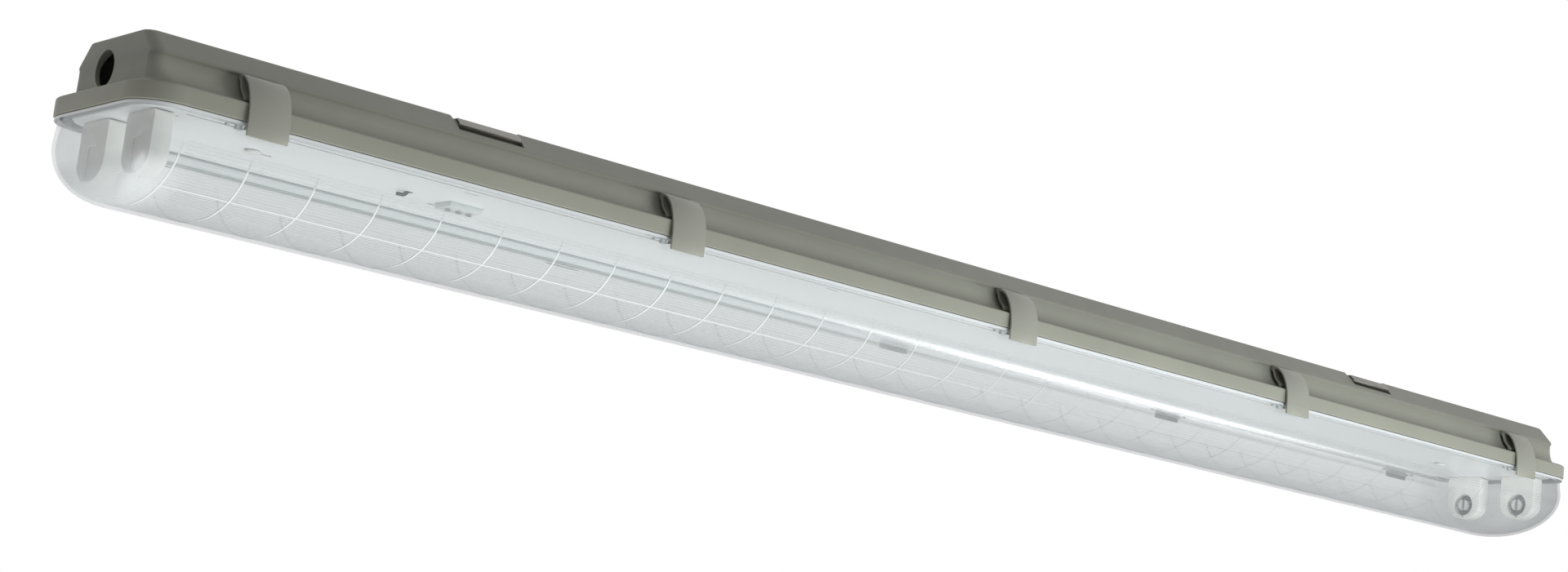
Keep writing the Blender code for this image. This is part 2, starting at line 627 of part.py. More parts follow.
def clip_outline():
    """Points of a clip's side view, measured outward and up from its pivot.

    The outer plate is a quarter ellipse from the top of the pivot barrel to the rim's lower edge,
    with its tab below. Its hook lies under the diffuser's flange, on an arc about the pivot, so
    that it swings clear. The inner leg follows the housing's cove and stands on it with a bead.
    """
    outer_reach = RIM_HALF_WIDTH + CLIP_CLEARANCE + CLIP_THICKNESS - PIVOT_HALF
    outer_rise = RIM_DEPTH - PIVOT_DEPTH + BARREL_RADIUS
    inner_reach = outer_reach - CLIP_THICKNESS
    inner_rise = outer_rise - CLIP_THICKNESS
    belt = PIVOT_DEPTH - RIM_DEPTH
    flange_out = FLANGE_HALF - PIVOT_HALF
    flange_drop = FLANGE_FOOT_DEPTH - PIVOT_DEPTH
    sweep = math.hypot(flange_out, flange_drop) + HOOK_SWEEP_GAP
    hook_tip = flange_out - HOOK_BITE
    hook_tip_top = -math.sqrt(sweep * sweep - hook_tip * hook_tip)
    hook_root_top = -math.sqrt(sweep * sweep - inner_reach * inner_reach)
    tab_foot = hook_root_top - HOOK_HEIGHT - TAB_HEIGHT

    points = []
    for angle in (180, 150, 120):
        turn = math.radians(angle)
        points.append((BARREL_RADIUS * math.cos(turn), BARREL_RADIUS * math.sin(turn)))
    for angle in (0, 12, 24, 36, 48, 60, 74, 90):
        turn = math.radians(angle)
        points.append((outer_reach * math.sin(turn), belt + outer_rise * math.cos(turn)))
    points += [
        (outer_reach, tab_foot),
        (inner_reach, tab_foot),
        (inner_reach, hook_root_top - HOOK_HEIGHT),
        (hook_tip, hook_tip_top - HOOK_NOSE),
        (hook_tip, hook_tip_top),
        (inner_reach, hook_root_top),
    ]
    for angle in (90, 74, 60, 48, 36, 24, 14):
        turn = math.radians(angle)
        points.append((inner_reach * math.sin(turn), belt + inner_rise * math.cos(turn)))
    points.append((BARREL_RADIUS, -BARREL_RADIUS / 2))

    def leg_point(angle, offset):
        half_width, depth = cove_point(angle, -offset)
        return half_width - PIVOT_HALF, PIVOT_DEPTH - depth

    leg_outer = LEG_OFFSET + LEG_THICKNESS / 2
    leg_inner = LEG_OFFSET - LEG_THICKNESS / 2
    points += [leg_point(angle, leg_outer) for angle in (20, 34, 48, 60)]
    bead_out, bead_up = leg_point(68, LEG_BEAD_RADIUS + GAP)
    for angle in (70, 20, -30, -80, -130, -180):
        turn = math.radians(angle)
        points.append((bead_out + LEG_BEAD_RADIUS * math.cos(turn),
                       bead_up + LEG_BEAD_RADIUS * math.sin(turn)))
    points += [leg_point(angle, leg_inner) for angle in (54, 42, 28, 14)]
    points.append((-BARREL_RADIUS * math.sin(math.radians(50)), -BARREL_RADIUS * math.cos(math.radians(50))))
    return points


def build_clips():
    """Five clips on each long side, each with its origin on its own pivot axis."""
    mesh = outline_mesh("clip", clip_outline(), CLIP_WIDTH)
    smooth(mesh, 40)
    mesh.materials.append(CLIP_GREY)
    for row, row_sign in CLIP_ROWS:
        for number, step in enumerate(CLIP_PLACES, 1):
            clip = place("clip_" + row + "_" + str(number), mesh, None)
            facing = FACING_LENGTH if row_sign > 0 else FACING_LENGTH_TURNED
            clip.matrix_world = Matrix.Translation(
                (step * CLIP_SPACING, row_sign * PIVOT_HALF, -PIVOT_DEPTH)) @ facing


def holder_outline():
    """Points of a lampholder's front view about the lamp's axis: a foot, shoulders and a round end."""
    half = HOLDER_WIDTH / 2
    shoulder = LAMP_AXIS_DEPTH - TRAY_DEPTH - GAP
    foot_half = HOLDER_FOOT_WIDTH / 2
    foot_top = LAMP_AXIS_DEPTH - TRAY_TOP_DEPTH + HOLDER_FOOT_HEIGHT
    points = [(foot_half, foot_top), (-foot_half, foot_top), (-foot_half, shoulder), (-half, shoulder)]
    for step in range(13):
        turn = math.radians(180 + 15 * step)
        points.append((half * math.cos(turn), HOLDER_DROP * math.sin(turn)))
    points += [(half, shoulder), (foot_half, shoulder)]
    return points


def build_lampholders():
    """Four lampholders with their sockets, rotors and contacts."""
    for side, sign in SIDES:
        for row, row_sign in CLIP_ROWS:
            label = side + "_" + row
            y = row_sign * LAMP_OFFSET
            mesh = outline_mesh("lampholder_" + label, holder_outline(), HOLDER_THICKNESS)
            holder = place("lampholder_" + label, mesh, HOLDER_WHITE)
            holder.matrix_world = Matrix.Translation(
                (sign * HOLDER_CENTRE, y, -LAMP_AXIS_DEPTH)) @ FACING_LENGTH
            front = sign * HOLDER_FRONT
            back = sign * (HOLDER_FRONT + HOLDER_THICKNESS)
            cut(holder, cylinder("socket_" + label, SOCKET_DIAMETER / 2, SOCKET_DEPTH + OVERRUN,
                                 (front + sign * (SOCKET_DEPTH - OVERRUN) / 2, y, -LAMP_AXIS_DEPTH),
                                 "X", sides=32))
            entry_height = HOLDER_DROP + OVERRUN
            cut(holder, box("pin_entry_" + label,
                            (SOCKET_DEPTH + OVERRUN, ROTOR_SLOT_WIDTH, entry_height),
                            (front + sign * (SOCKET_DEPTH - OVERRUN) / 2, y,
                             -LAMP_AXIS_DEPTH - entry_height / 2)))
            cut(holder, box("contact_pocket_" + label,
                            (CONTACT_POCKET_DEPTH + OVERRUN, CONTACT_POCKET_WIDTH, CONTACT_POCKET_HEIGHT),
                            (back + sign * (OVERRUN - CONTACT_POCKET_DEPTH) / 2, y, -LAMP_AXIS_DEPTH)))
            build_rotor(label, sign, y)
            contact_x = back - sign * (CONTACT_POCKET_DEPTH - GAP - CONTACT_THICKNESS / 2)
            contact_offset = (CONTACT_POCKET_WIDTH - CONTACT_WIDTH) / 2 - GAP
            for number, contact_sign in ((1, -1), (2, 1)):
                box("contact_" + label + "_" + str(number),
                    (CONTACT_THICKNESS, CONTACT_WIDTH, CONTACT_LENGTH),
                    (contact_x, y + contact_sign * contact_offset, -LAMP_AXIS_DEPTH), BRASS)


def build_rotor(label, sign, y):
    """A rotor: a base disc at the socket's floor and a slotted hub, turning about the lamp's axis."""
    base_top = SOCKET_DEPTH - GAP - ROTOR_BASE
    profile = [(0, 0), (HUB_DIAMETER / 2, 0), (HUB_DIAMETER / 2, -base_top),
               (ROTOR_DIAMETER / 2, -base_top), (ROTOR_DIAMETER / 2, -base_top - ROTOR_BASE),
               (0, -base_top - ROTOR_BASE)]
    rotor = turned("rotor_" + label, profile, ROTOR_WHITE, (sign * HOLDER_FRONT, y, -LAMP_AXIS_DEPTH))
    rotor.rotation_euler = (0, math.radians(-90 * sign), 0)
    slot = box("rotor_slot_" + label, (ROTOR_SLOT_DEPTH + OVERRUN, ROTOR_SLOT_WIDTH, SOCKET_DIAMETER),
               (sign * (HOLDER_FRONT + (ROTOR_SLOT_DEPTH - OVERRUN) / 2), y, -LAMP_AXIS_DEPTH))
    cut(rotor, slot)


def build_catches():
    """Two quarter-turn catches: a head under the tray, and a shank with two ears above it."""
    for side, sign in SIDES:
        x = sign * CATCH_SPACING / 2
        shank_top = CATCH_SHANK_LENGTH
        profile = [(0, shank_top), (CATCH_SHANK_DIAMETER / 2, shank_top), (CATCH_SHANK_DIAMETER / 2, 0),
                   (CATCH_HEAD_DIAMETER / 2, 0), (CATCH_HEAD_DIAMETER / 2, -CATCH_HEAD_HEIGHT),
                   (0, -CATCH_HEAD_HEIGHT)]
        catch = turned("tray_catch_" + side, profile, ROTOR_WHITE, (x, 0, -(TRAY_DEPTH + GAP)), steps=24)
        ears = box("catch_ears_" + side, (CATCH_EAR_WIDTH, CATCH_EAR_LENGTH, CATCH_EAR_HEIGHT),
                   (x, 0, -(TRAY_TOP_DEPTH - GAP - CATCH_EAR_HEIGHT / 2)))
        cut(catch, ears, "UNION")


def build_terminal():
    """The terminal block that sits in its tray opening on two side flanges, and its screws."""
    half = TERMINAL_LENGTH / 2
    wing = half + TERMINAL_FLANGE_REACH
    low = -(TRAY_DEPTH + TERMINAL_DROP)
    flange_low = -(TRAY_TOP_DEPTH - GAP)
    flange_high = flange_low + TERMINAL_FLANGE_THICKNESS
    high = -(TRAY_TOP_DEPTH - TERMINAL_RISE)
    points = [(half, low), (half, flange_low), (wing, flange_low), (wing, flange_high), (half, flange_high),
              (half, high), (-half, high), (-half, flange_high), (-wing, flange_high),
              (-wing, flange_low), (-half, flange_low), (-half, low)]
    block = place("terminal_block", outline_mesh("terminal_block", points, TERMINAL_WIDTH), TERMINAL_GREY)
    block.matrix_world = Matrix.Translation((TERMINAL_X, TERMINAL_Y, 0)) @ FACING_NEAR
    for number, step in enumerate((-1, 0, 1), 1):
        cylinder("terminal_screw_" + str(number), TERMINAL_SCREW_DIAMETER / 2, TERMINAL_SCREW_HEIGHT,
                 (TERMINAL_X + step * TERMINAL_LENGTH / 3, TERMINAL_Y,
                  low - GAP - TERMINAL_SCREW_HEIGHT / 2), material=BRASS, sides=16)


def build_ballast():
    """The electronic ballast: a long box with a fixing ear at each end, and its two screws."""
    half = BALLAST_LENGTH / 2
    ear_end = half + BALLAST_EAR
    low = -(TRAY_TOP_DEPTH - GAP)
    ear_top = low + BALLAST_EAR_THICKNESS
    high = low + BALLAST_HEIGHT
    points = [(ear_end, low), (ear_end, ear_top), (half, ear_top), (half, high), (-half, high),
              (-half, ear_top), (-ear_end, ear_top), (-ear_end, low)]
    case = place("ballast", outline_mesh("ballast", points, BALLAST_WIDTH), BALLAST_CASE)
    case.matrix_world = Matrix.Translation((BALLAST_X, 0, 0)) @ FACING_NEAR
    for side, sign in SIDES:
        cylinder("ballast_screw_" + side, BALLAST_SCREW_DIAMETER / 2, BALLAST_SCREW_HEIGHT,
                 (BALLAST_X + sign * (half + BALLAST_EAR / 2), 0,
                  ear_top + GAP + BALLAST_SCREW_HEIGHT / 2), material=SCREW_STEEL, sides=16)


def build_brackets():
    """Two stainless brackets that lie in the saddles, fold over the bars and hook into the slots."""
    down, out = chamfer_axes()
    bar_foot = Vector((chamfer_half(SADDLE_DEPTH), -SADDLE_DEPTH)) + down * SLOT_BAR
    inner, outer = GAP, GAP + BRACKET_THICKNESS
    rise = SADDLE_DEPTH - inner
    under = -rise
    over = -rise + BRACKET_THICKNESS

    def on_slope(distance, height):
        """Half width where the slope, moved out by a distance, meets a height."""
        base = Vector((TOP_WIDTH / 2, 0)) + out * distance
        return base.x + down.x * (height - base.y) / down.y

    hook = [
        (on_slope(outer, over), over),
        tuple(bar_foot + out * outer + down * outer),
        tuple(bar_foot - out * BRACKET_HOOK + down * outer),
        tuple(bar_foot - out * BRACKET_HOOK + down * inner),
        tuple(bar_foot + out * inner + down * inner),
        (on_slope(inner, under), under),
    ]
    points = hook + [(-across, up) for across, up in reversed(hook)]
    mesh = outline_mesh("bracket", points, BRACKET_WIDTH)
    mesh.materials.append(STAINLESS)
    for side, sign in SIDES:
        x = sign * SADDLE_SPACING / 2 - SADDLE_SHIFT
        bracket = place("ceiling_bracket_" + side, mesh.copy(), None)
        bracket.matrix_world = Matrix.Translation((x, 0, 0)) @ FACING_LENGTH
        hole = box("bracket_hole_" + side,
                   (BRACKET_HOLE_DIAMETER, BRACKET_HOLE_LENGTH, BRACKET_THICKNESS + OVERRUN),
                   (x, 0, (under + over) / 2))
        cut(bracket, hole)


def smooth_route(corners, steps=6):
    """Points along a smooth path through its corners, with short bends on its long runs."""
    corners = [Vector(corner) for corner in corners]
    runs = [end - start for start, end in zip(corners, corners[1:])]
    pulls = [runs[0]]
    for before, after in zip(runs, runs[1:]):
        heading = (before.normalized() + after.normalized()).normalized()
        pulls.append(heading * min(before.length, after.length))
    pulls.append(runs[-1])
    route = []
    for start, end, leaving, arriving in zip(corners, corners[1:], pulls, pulls[1:]):
        for step in range(steps):
            share = step / steps
            left = 1 - share
            route.append(start * (1 + 2 * share) * left ** 2 + leaving * share * left ** 2
                         + end * (3 - 2 * share) * share ** 2 - arriving * left * share ** 2)
    route.append(corners[-1])
    return route


def lead(name, corners, material, steps=6):
    """A round lead along a smooth route."""
    curve = bpy.data.curves.new(name, "CURVE")
    curve.dimensions = "3D"
    curve.bevel_depth = LEAD_DIAMETER / 2
    curve.bevel_resolution = 2
    curve.use_fill_caps = True
    mesh = mesh_of_curve(name, curve, smooth_route(corners, steps), False)
    smooth(mesh)
    return place(name, mesh, material)


def build_leads():
    """Leads on the tray: supply to the ballast, the ballast to both ends, and one through the tray."""
    floor = -(TRAY_TOP_DEPTH - GAP - LEAD_DIAMETER / 2)
    ballast_left = BALLAST_X - BALLAST_LENGTH / 2
    ballast_right = BALLAST_X + BALLAST_LENGTH / 2
    terminal_right = TERMINAL_X + TERMINAL_LENGTH / 2 + TERMINAL_FLANGE_REACH
    port_y = BALLAST_WIDTH / 2 + LEAD_DIAMETER + SLIDE_GAP
    beside_y = port_y + LEAD_DIAMETER + SLIDE_GAP
    inner_x = HOLDER_FRONT - LEAD_BEND
    holder_side = HOLDER_FRONT - GAP

    lead("lead_supply", [
        (terminal_right + GAP, TERMINAL_Y, floor),
        (terminal_right + LEAD_BEND, TERMINAL_Y, floor),
        (terminal_right + 2 * LEAD_BEND, port_y, floor),
        (ballast_left - LEAD_BEND, port_y, floor),
        (ballast_left + LEAD_BEND, port_y, floor)], LEAD_WHITE)
    for row, row_sign in CLIP_ROWS:
        lane = row_sign * LEAD_LANE_Y
        lead("lead_lamp_left_" + row, [
            (ballast_left + LEAD_BEND, row_sign * beside_y, floor),
            (ballast_left - LEAD_BEND, row_sign * beside_y, floor),
            (ballast_left - 3 * LEAD_BEND, lane, floor),
            (TERMINAL_X, lane, floor),
            (-inner_x, lane, floor),
            (-holder_side, lane - row_sign * LEAD_DIAMETER, floor)], LEAD_WHITE, steps=4)
        lead("lead_lamp_right_" + row, [
            (ballast_right - LEAD_BEND, row_sign * port_y, floor),
            (ballast_right + LEAD_BEND, row_sign * port_y, floor),
            (ballast_right + 3 * LEAD_BEND, lane, floor),
            (inner_x, lane, floor),
            (holder_side, lane - row_sign * LEAD_DIAMETER, floor)], LEAD_WHITE, steps=4)

    terminal_left = TERMINAL_X - TERMINAL_LENGTH / 2 - TERMINAL_FLANGE_REACH
    middle = -(TRAY_DEPTH - TRAY_SHEET / 2)
    below = -(TRAY_DEPTH + LEAD_END_DROP)
    lead("lead_earth", [
        (terminal_left - GAP, TERMINAL_Y, floor),
        (LEAD_HOLE_X + LEAD_HOLE_DIAMETER, LEAD_HOLE_Y, floor + LEAD_DIAMETER / 2),
        (LEAD_HOLE_X + LEAD_DIAMETER, LEAD_HOLE_Y, middle + LEAD_DIAMETER),
        (LEAD_HOLE_X, LEAD_HOLE_Y, middle),
        (LEAD_HOLE_X - LEAD_DIAMETER, LEAD_HOLE_Y, middle - LEAD_DIAMETER),
        (LEAD_HOLE_X - LEAD_END_RUN, LEAD_HOLE_Y, below)], LEAD_BLACK, steps=4)


build_housing()
build_seal()
build_diffuser()
build_tray()
build_clips()
build_lampholders()
build_catches()
build_terminal()
build_ballast()
build_brackets()
build_leads()
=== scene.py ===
"""Looks of a sealed twin-lamp ceiling luminaire: canopy, clear diffuser, clips, tray and lampholders.

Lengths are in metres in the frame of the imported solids: the length runs along X, the width along Y,
Z points up, and the origin is the centre of the canopy's flat top. Depths are measured down from it.
Every shape is a surface on a grid of two parameters, worked out as whole numpy arrays.
"""

import json
import logging
import math
from dataclasses import dataclass
from enum import Enum

import bpy
import bmesh
import numpy as np
from mathutils import Euler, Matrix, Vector

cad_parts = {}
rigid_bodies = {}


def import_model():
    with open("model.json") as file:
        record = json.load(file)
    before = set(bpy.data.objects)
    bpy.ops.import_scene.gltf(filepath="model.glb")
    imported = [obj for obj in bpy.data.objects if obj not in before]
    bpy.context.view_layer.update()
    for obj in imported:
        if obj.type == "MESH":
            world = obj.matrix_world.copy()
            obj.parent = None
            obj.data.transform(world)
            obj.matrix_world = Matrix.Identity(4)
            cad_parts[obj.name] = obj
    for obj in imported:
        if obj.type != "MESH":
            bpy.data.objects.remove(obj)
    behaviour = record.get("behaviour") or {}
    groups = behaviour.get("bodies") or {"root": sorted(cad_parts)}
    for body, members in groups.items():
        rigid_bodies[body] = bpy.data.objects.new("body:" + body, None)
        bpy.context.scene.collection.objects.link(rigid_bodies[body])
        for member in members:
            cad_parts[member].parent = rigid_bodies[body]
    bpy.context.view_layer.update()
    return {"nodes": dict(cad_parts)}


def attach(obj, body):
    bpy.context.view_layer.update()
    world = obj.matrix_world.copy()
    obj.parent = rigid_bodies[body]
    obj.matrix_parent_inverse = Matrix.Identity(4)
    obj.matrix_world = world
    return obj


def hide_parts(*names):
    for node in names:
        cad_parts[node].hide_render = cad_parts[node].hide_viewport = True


LOG = logging.getLogger("luminaire")
MM = 0.001

# Sizes that several sub-assemblies share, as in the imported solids

HALF_LENGTH = 631.0 * MM
HALF_WIDTH = 59.0 * MM
RIM_CORNER = 24.0 * MM
RIM_FOOT = 40.5 * MM
COVE_HALF = 43.5 * MM
COVE_DEPTH = 15.0 * MM
FOOT_HALF = 58.0 * MM
FOOT_DEPTH = 30.5 * MM
FLANGE_INSET = 0.8 * MM
FLANGE_FOOT = 43.2 * MM
CLIP_PITCH = 280.0 * MM
OVERRUN = 2.0 * MM

# Angles in degrees, above which the edges of new pieces and of refined copies stay sharp

SMOOTH_ANGLE = 32.0
COPY_ANGLE = 40.0

Colour = tuple[float, float, float]
Place = tuple[float, float, float]


class Way(Enum):
    """One of two opposite directions, as the sign of its axis."""

    @property
    def label(self) -> str:
        """Its word in the names of solids and bodies."""
        return self.name.lower()


class Side(Way):
    """A long side of the luminaire, as the sign of its width direction."""

    NEAR = -1
    FAR = 1


class End(Way):
    """An end of the luminaire, as the sign of its length direction."""

    LEFT = -1
    RIGHT = 1


# Points of outlines and rings

def sweep(start: float, stop: float, count: int) -> np.ndarray:
    """Angles in radians, evenly spaced from one angle in degrees to another."""
    return np.radians(np.linspace(start, stop, count))


def pairs(first: np.ndarray, second: np.ndarray) -> np.ndarray:
    """Points of two numbers each, from two arrays."""
    return np.stack([first, second], axis=1)


def arc(radius: float, turn: np.ndarray) -> np.ndarray:
    """Points of an arc about zero: radius * (cos, sin) of each angle."""
    return radius * pairs(np.cos(turn), np.sin(turn))


def circle(radius: float, steps: int, centre: tuple[float, float] = (0.0, 0.0)) -> np.ndarray:
    """Points of a circle: centre + radius * (cos, sin)."""
    return arc(radius, np.linspace(0, 2 * np.pi, steps, endpoint=False)) + np.array(centre)


def plan_signs(arc_steps: int, long_steps: int, short_steps: int) -> np.ndarray:
    """Directions of the points round a rounded rectangle.

    A point of the rectangle is (a * (L - r) + r * c, b * (W - r) + r * s), for its half length L, half
    width W and corner radius r. Each row of the result is a, b, c, s: along a corner's arc, a and b
    are signs and (c, s) turns, and along a side (c, s) stays and a or b runs from one sign to the other.

    Args:
        arc_steps: Steps in each corner.
        long_steps: Extra points between the corners on the long sides.
        short_steps: Extra points between the corners on the ends.

    Returns:
        Array of four numbers for each point, anticlockwise from above.
    """
    rows = []
    for quarter, (a, b) in enumerate(((1, 1), (-1, 1), (-1, -1), (1, -1))):
        turn = np.pi / 2 * (quarter + np.linspace(0, 1, arc_steps + 1))
        rows.append(np.stack([np.full_like(turn, a), np.full_like(turn, b), np.cos(turn), np.sin(turn)], 1))
        along_length = quarter % 2 == 0
        share = np.linspace(0, 1, (long_steps if along_length else short_steps) + 2)[1:-1]
        run = a * (1 - 2 * share) if along_length else np.full_like(share, a)
        rise = np.full_like(share, b) if along_length else b * (1 - 2 * share)
        cos, sin = (np.full_like(share, wave(turn[-1])) for wave in (np.cos, np.sin))
        rows.append(np.stack([run, rise, cos, sin], 1))
    return np.concatenate(rows)


def plan_rings(profile: np.ndarray, signs: np.ndarray) -> np.ndarray:
    """Rounded rectangles stacked along a profile.

    Point(r, p) = (a_p * (L_r - R_r) + R_r * c_p, b_p * (W_r - R_r) + R_r * s_p, -D_r).

    Args:
        profile: Rows of half length L, half width W, corner radius R and depth D.
        signs: Rows of a, b, c, s from plan_signs.

    Returns:
        Points as an array of rings, points and coordinates.
    """
    length, width, corner, depth = (profile[:, i:i + 1] for i in range(4))
    a, b, c, s = (signs[None, :, i] for i in range(4))
    x = a * (length - corner) + corner * c
    y = b * (width - corner) + corner * s
    return np.stack([x, y, np.broadcast_to(-depth, x.shape)], axis=-1)


def rounded(profile: np.ndarray, radii: list[float], steps: int = 4) -> np.ndarray:
    """Round the corners of an open profile.

    A corner P with radius r becomes the parabola (1-t)^2 A + 2t(1-t) P + t^2 B, where A and B lie
    at a distance r from P, measured in width and depth, towards its neighbours.

    Args:
        profile: Rows of numbers, with width in column 1 and depth in column 3.
        radii: Distance for each row; zero keeps the corner.
        steps: Steps in each rounded corner.

    Returns:
        The profile with its corners rounded.
    """
    t = np.linspace(0, 1, steps + 1)[:, None]
    rows = [profile[:1]]
    for before, here, after, radius in zip(profile, profile[1:], profile[2:], radii[1:]):
        if radius == 0:
            rows.append(here[None])
            continue
        start = here + (before - here) * min(0.5, radius / np.linalg.norm((before - here)[[1, 3]]))
        end = here + (after - here) * min(0.5, radius / np.linalg.norm((after - here)[[1, 3]]))
        rows.append((1 - t) ** 2 * start + 2 * t * (1 - t) * here + t ** 2 * end)
    rows.append(profile[-1:])
    return np.concatenate(rows)


def rounded_box(width: float, height: float, radius: float, centre: tuple[float, float],
                steps: int = 5) -> np.ndarray:
    """Outline of a rectangle with rounded corners.

    Args:
        width: Size along the first number.
        height: Size along the second number.
        radius: Radius of the corners.
        centre: Middle of the rectangle.
        steps: Steps in each corner.

    Returns:
        Points of two numbers each.
    """
    signs = plan_signs(steps, long_steps=0, short_steps=0)
    return np.array(centre) + pairs(signs[:, 0] * (width / 2 - radius) + radius * signs[:, 2],
                                    signs[:, 1] * (height / 2 - radius) + radius * signs[:, 3])


# Meshes

def grid_faces(rows: int, columns: int, around: bool = True, closed: bool = False) -> np.ndarray:
    """Quads between neighbouring rows of a grid of points.

    Args:
        rows: Number of rows.
        columns: Points in each row.
        around: True joins the last point of a row to its first.
        closed: True joins the last row to the first.

    Returns:
        Corner numbers, four for each quad, in the order (r, c), (r+1, c), (r+1, c+1), (r, c+1).
    """
    row, column = np.meshgrid(
        np.arange(rows if closed else rows - 1),
        np.arange(columns if around else columns - 1), indexing="ij")
    below = (row + 1) % rows
    beside = (column + 1) % columns
    quads = np.stack([row * columns + column, below * columns + column,
                      below * columns + beside, row * columns + beside], axis=-1)
    return quads.reshape(-1, 4)


def repeated(faces: list, copies: int, step: int) -> list:
    """The faces of one copy, repeated for the copies whose points follow its own.

    Args:
        faces: Lists of corner numbers of the first copy.
        copies: Number of copies.
        step: Points in a copy.

    Returns:
        The faces of all copies.
    """
    return [[corner + copy * step for corner in face] for copy in range(copies) for face in faces]


def new_object(name: str, data: bpy.types.ID) -> bpy.types.Object:
    """Put a mesh, a lamp or a camera into the scene.

    Args:
        name: Name of the object.
        data: Its mesh, lamp or camera.

    Returns:
        The new object, at the origin.
    """
    made = bpy.data.objects.new(name, data)
    bpy.context.scene.collection.objects.link(made)
    return made


def shade(mesh: bpy.types.Mesh, angle: float) -> None:
    """Shade a mesh smooth, with edges sharper than this many degrees kept sharp."""
    mesh.shade_smooth()
    mesh.set_sharp_from_angle(angle=math.radians(angle))


def make_piece(name: str, points: np.ndarray, faces: list, angle: float = SMOOTH_ANGLE) -> bpy.types.Object:
    """A piece from points and faces, shaded smooth up to an angle.

    Args:
        name: Name of the piece.
        points: Array of points, three numbers each.
        faces: Lists of corner numbers.
        angle: Edges sharper than this many degrees stay sharp.

    Returns:
        The new object, at the origin.
    """
    mesh = bpy.data.meshes.new(name)
    mesh.from_pydata(points.reshape(-1, 3).tolist(), [], faces)
    mesh.update()
    shade(mesh, angle)
    return new_object(name, mesh)


def evaluated(piece: bpy.types.Object, angle: float) -> bpy.types.Object:
    """Fix a piece's modifiers into its mesh and shade it again.

    Args:
        piece: The piece with its modifiers.
        angle: Edges sharper than this many degrees stay sharp.

    Returns:
        The same piece, with no modifiers.
    """
    depsgraph = bpy.context.evaluated_depsgraph_get()
    mesh = bpy.data.meshes.new_from_object(piece.evaluated_get(depsgraph))
    mesh.name = piece.name
    old = piece.data
    piece.modifiers.clear()
    piece.data = mesh
    bpy.data.meshes.remove(old)
    shade(mesh, angle)
    return piece


def combine(piece: bpy.types.Object, others: list[bpy.types.Object],
            operation: str = "DIFFERENCE") -> bpy.types.Object:
    """Cut a piece with several closed pieces, or join them to it, and remove them.

    Args:
        piece: The piece that is cut or added to.
        others: Closed pieces, which are deleted afterwards.
        operation: DIFFERENCE cuts and UNION joins.

    Returns:
        The changed piece.
    """
    for other in others:
        modifier = piece.modifiers.new(other.name, "BOOLEAN")
        modifier.operation = operation
        modifier.object = other
        modifier.solver = "EXACT"
    evaluated(piece, SMOOTH_ANGLE)
    for other in others:
        bpy.data.objects.remove(other)
    return piece


def soften(piece: bpy.types.Object, width: float, segments: int, angle: float) -> bpy.types.Object:
    """Round a piece's sharp edges.

    Args:
        piece: The piece.
        width: Width of the rounding.
        segments: Steps in it.
        angle: Edges sharper than this many degrees are rounded, and stay sharp in the shading.

    Returns:
        The same piece.
    """
    bevel = piece.modifiers.new("soft_edges", "BEVEL")
    bevel.width = width
    bevel.segments = segments
    bevel.limit_method = "ANGLE"
    bevel.angle_limit = math.radians(angle)
    bevel.use_clamp_overlap = True
    return evaluated(piece, angle)


def prism(name: str, outline: np.ndarray, low: float, high: float, axis: str = "X",
          angle: float = SMOOTH_ANGLE) -> bpy.types.Object:
    """A closed outline carried straight along an axis: point = outline(p) at low or high.

    Args:
        name: Name of the piece.
        outline: Two numbers for each corner: (y, z) for axis X, (z, x) for Y, (x, y) for Z.
        low: Where it starts on the axis.
        high: Where it ends on the axis.
        axis: X, Y or Z.
        angle: Edges sharper than this many degrees stay sharp.

    Returns:
        The new piece.
    """
    first, second = outline[:, 0], outline[:, 1]
    if np.sum(first * np.roll(second, -1) - np.roll(first, -1) * second) < 0:
        outline = outline[::-1]
    count = len(outline)
    along = np.repeat([low, high], count)
    across, up = np.tile(outline[:, 0], 2), np.tile(outline[:, 1], 2)
    order = {"X": (along, across, up), "Y": (up, along, across), "Z": (across, up, along)}[axis]
    index = np.arange(count)
    after = (index + 1) % count
    sides = np.stack([index, after, after + count, index + count], axis=1).tolist()
    caps = [index[::-1].tolist(), (index + count).tolist()]
    return make_piece(name, np.stack(order, axis=1), sides + caps, angle)


def merged_copy(name: str, source: bpy.types.Object) -> bpy.types.Object:
    """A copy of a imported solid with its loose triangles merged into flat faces.

    Args:
        name: Name of the copy.
        source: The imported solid, which stays as it is.

    Returns:
        The copy, with no material.
    """
    mesh = source.data.copy()
    mesh.name = name
    bm = bmesh.new()
    bm.from_mesh(mesh)
    bmesh.ops.remove_doubles(bm, verts=bm.verts, dist=0.001 * MM)
    bmesh.ops.dissolve_limit(bm, angle_limit=math.radians(1.0), verts=bm.verts, edges=bm.edges)
    bm.to_mesh(mesh)
    bm.free()
    mesh.materials.clear()
    if mesh.has_custom_normals:
        mesh.normals_split_custom_set([(0, 0, 0)] * len(mesh.loops))
    return new_object(name, mesh)


def outwards(piece: bpy.types.Object) -> bpy.types.Object:
    """Turn every face of a closed piece outwards.

    Args:
        piece: The piece.

    Returns:
        The same piece.
    """
    bm = bmesh.new()
    bm.from_mesh(piece.data)
    bmesh.ops.recalc_face_normals(bm, faces=bm.faces)
    bm.to_mesh(piece.data)
    bm.free()
    return piece


def join_pieces(name: str, pieces: list[bpy.types.Object], angle: float = 35.0) -> bpy.types.Object:
    """One piece that holds several separate ones, whose own objects are removed.

    Args:
        name: Name of the new piece.
        pieces: Pieces at the origin.
        angle: Edges sharper than this many degrees stay sharp.

    Returns:
        The joined piece.
    """
    bm = bmesh.new()
    for piece in pieces:
        bm.from_mesh(piece.data)
        bpy.data.objects.remove(piece)
    mesh = bpy.data.meshes.new(name)
    bm.to_mesh(mesh)
    bm.free()
    shade(mesh, angle)
    return new_object(name, mesh)


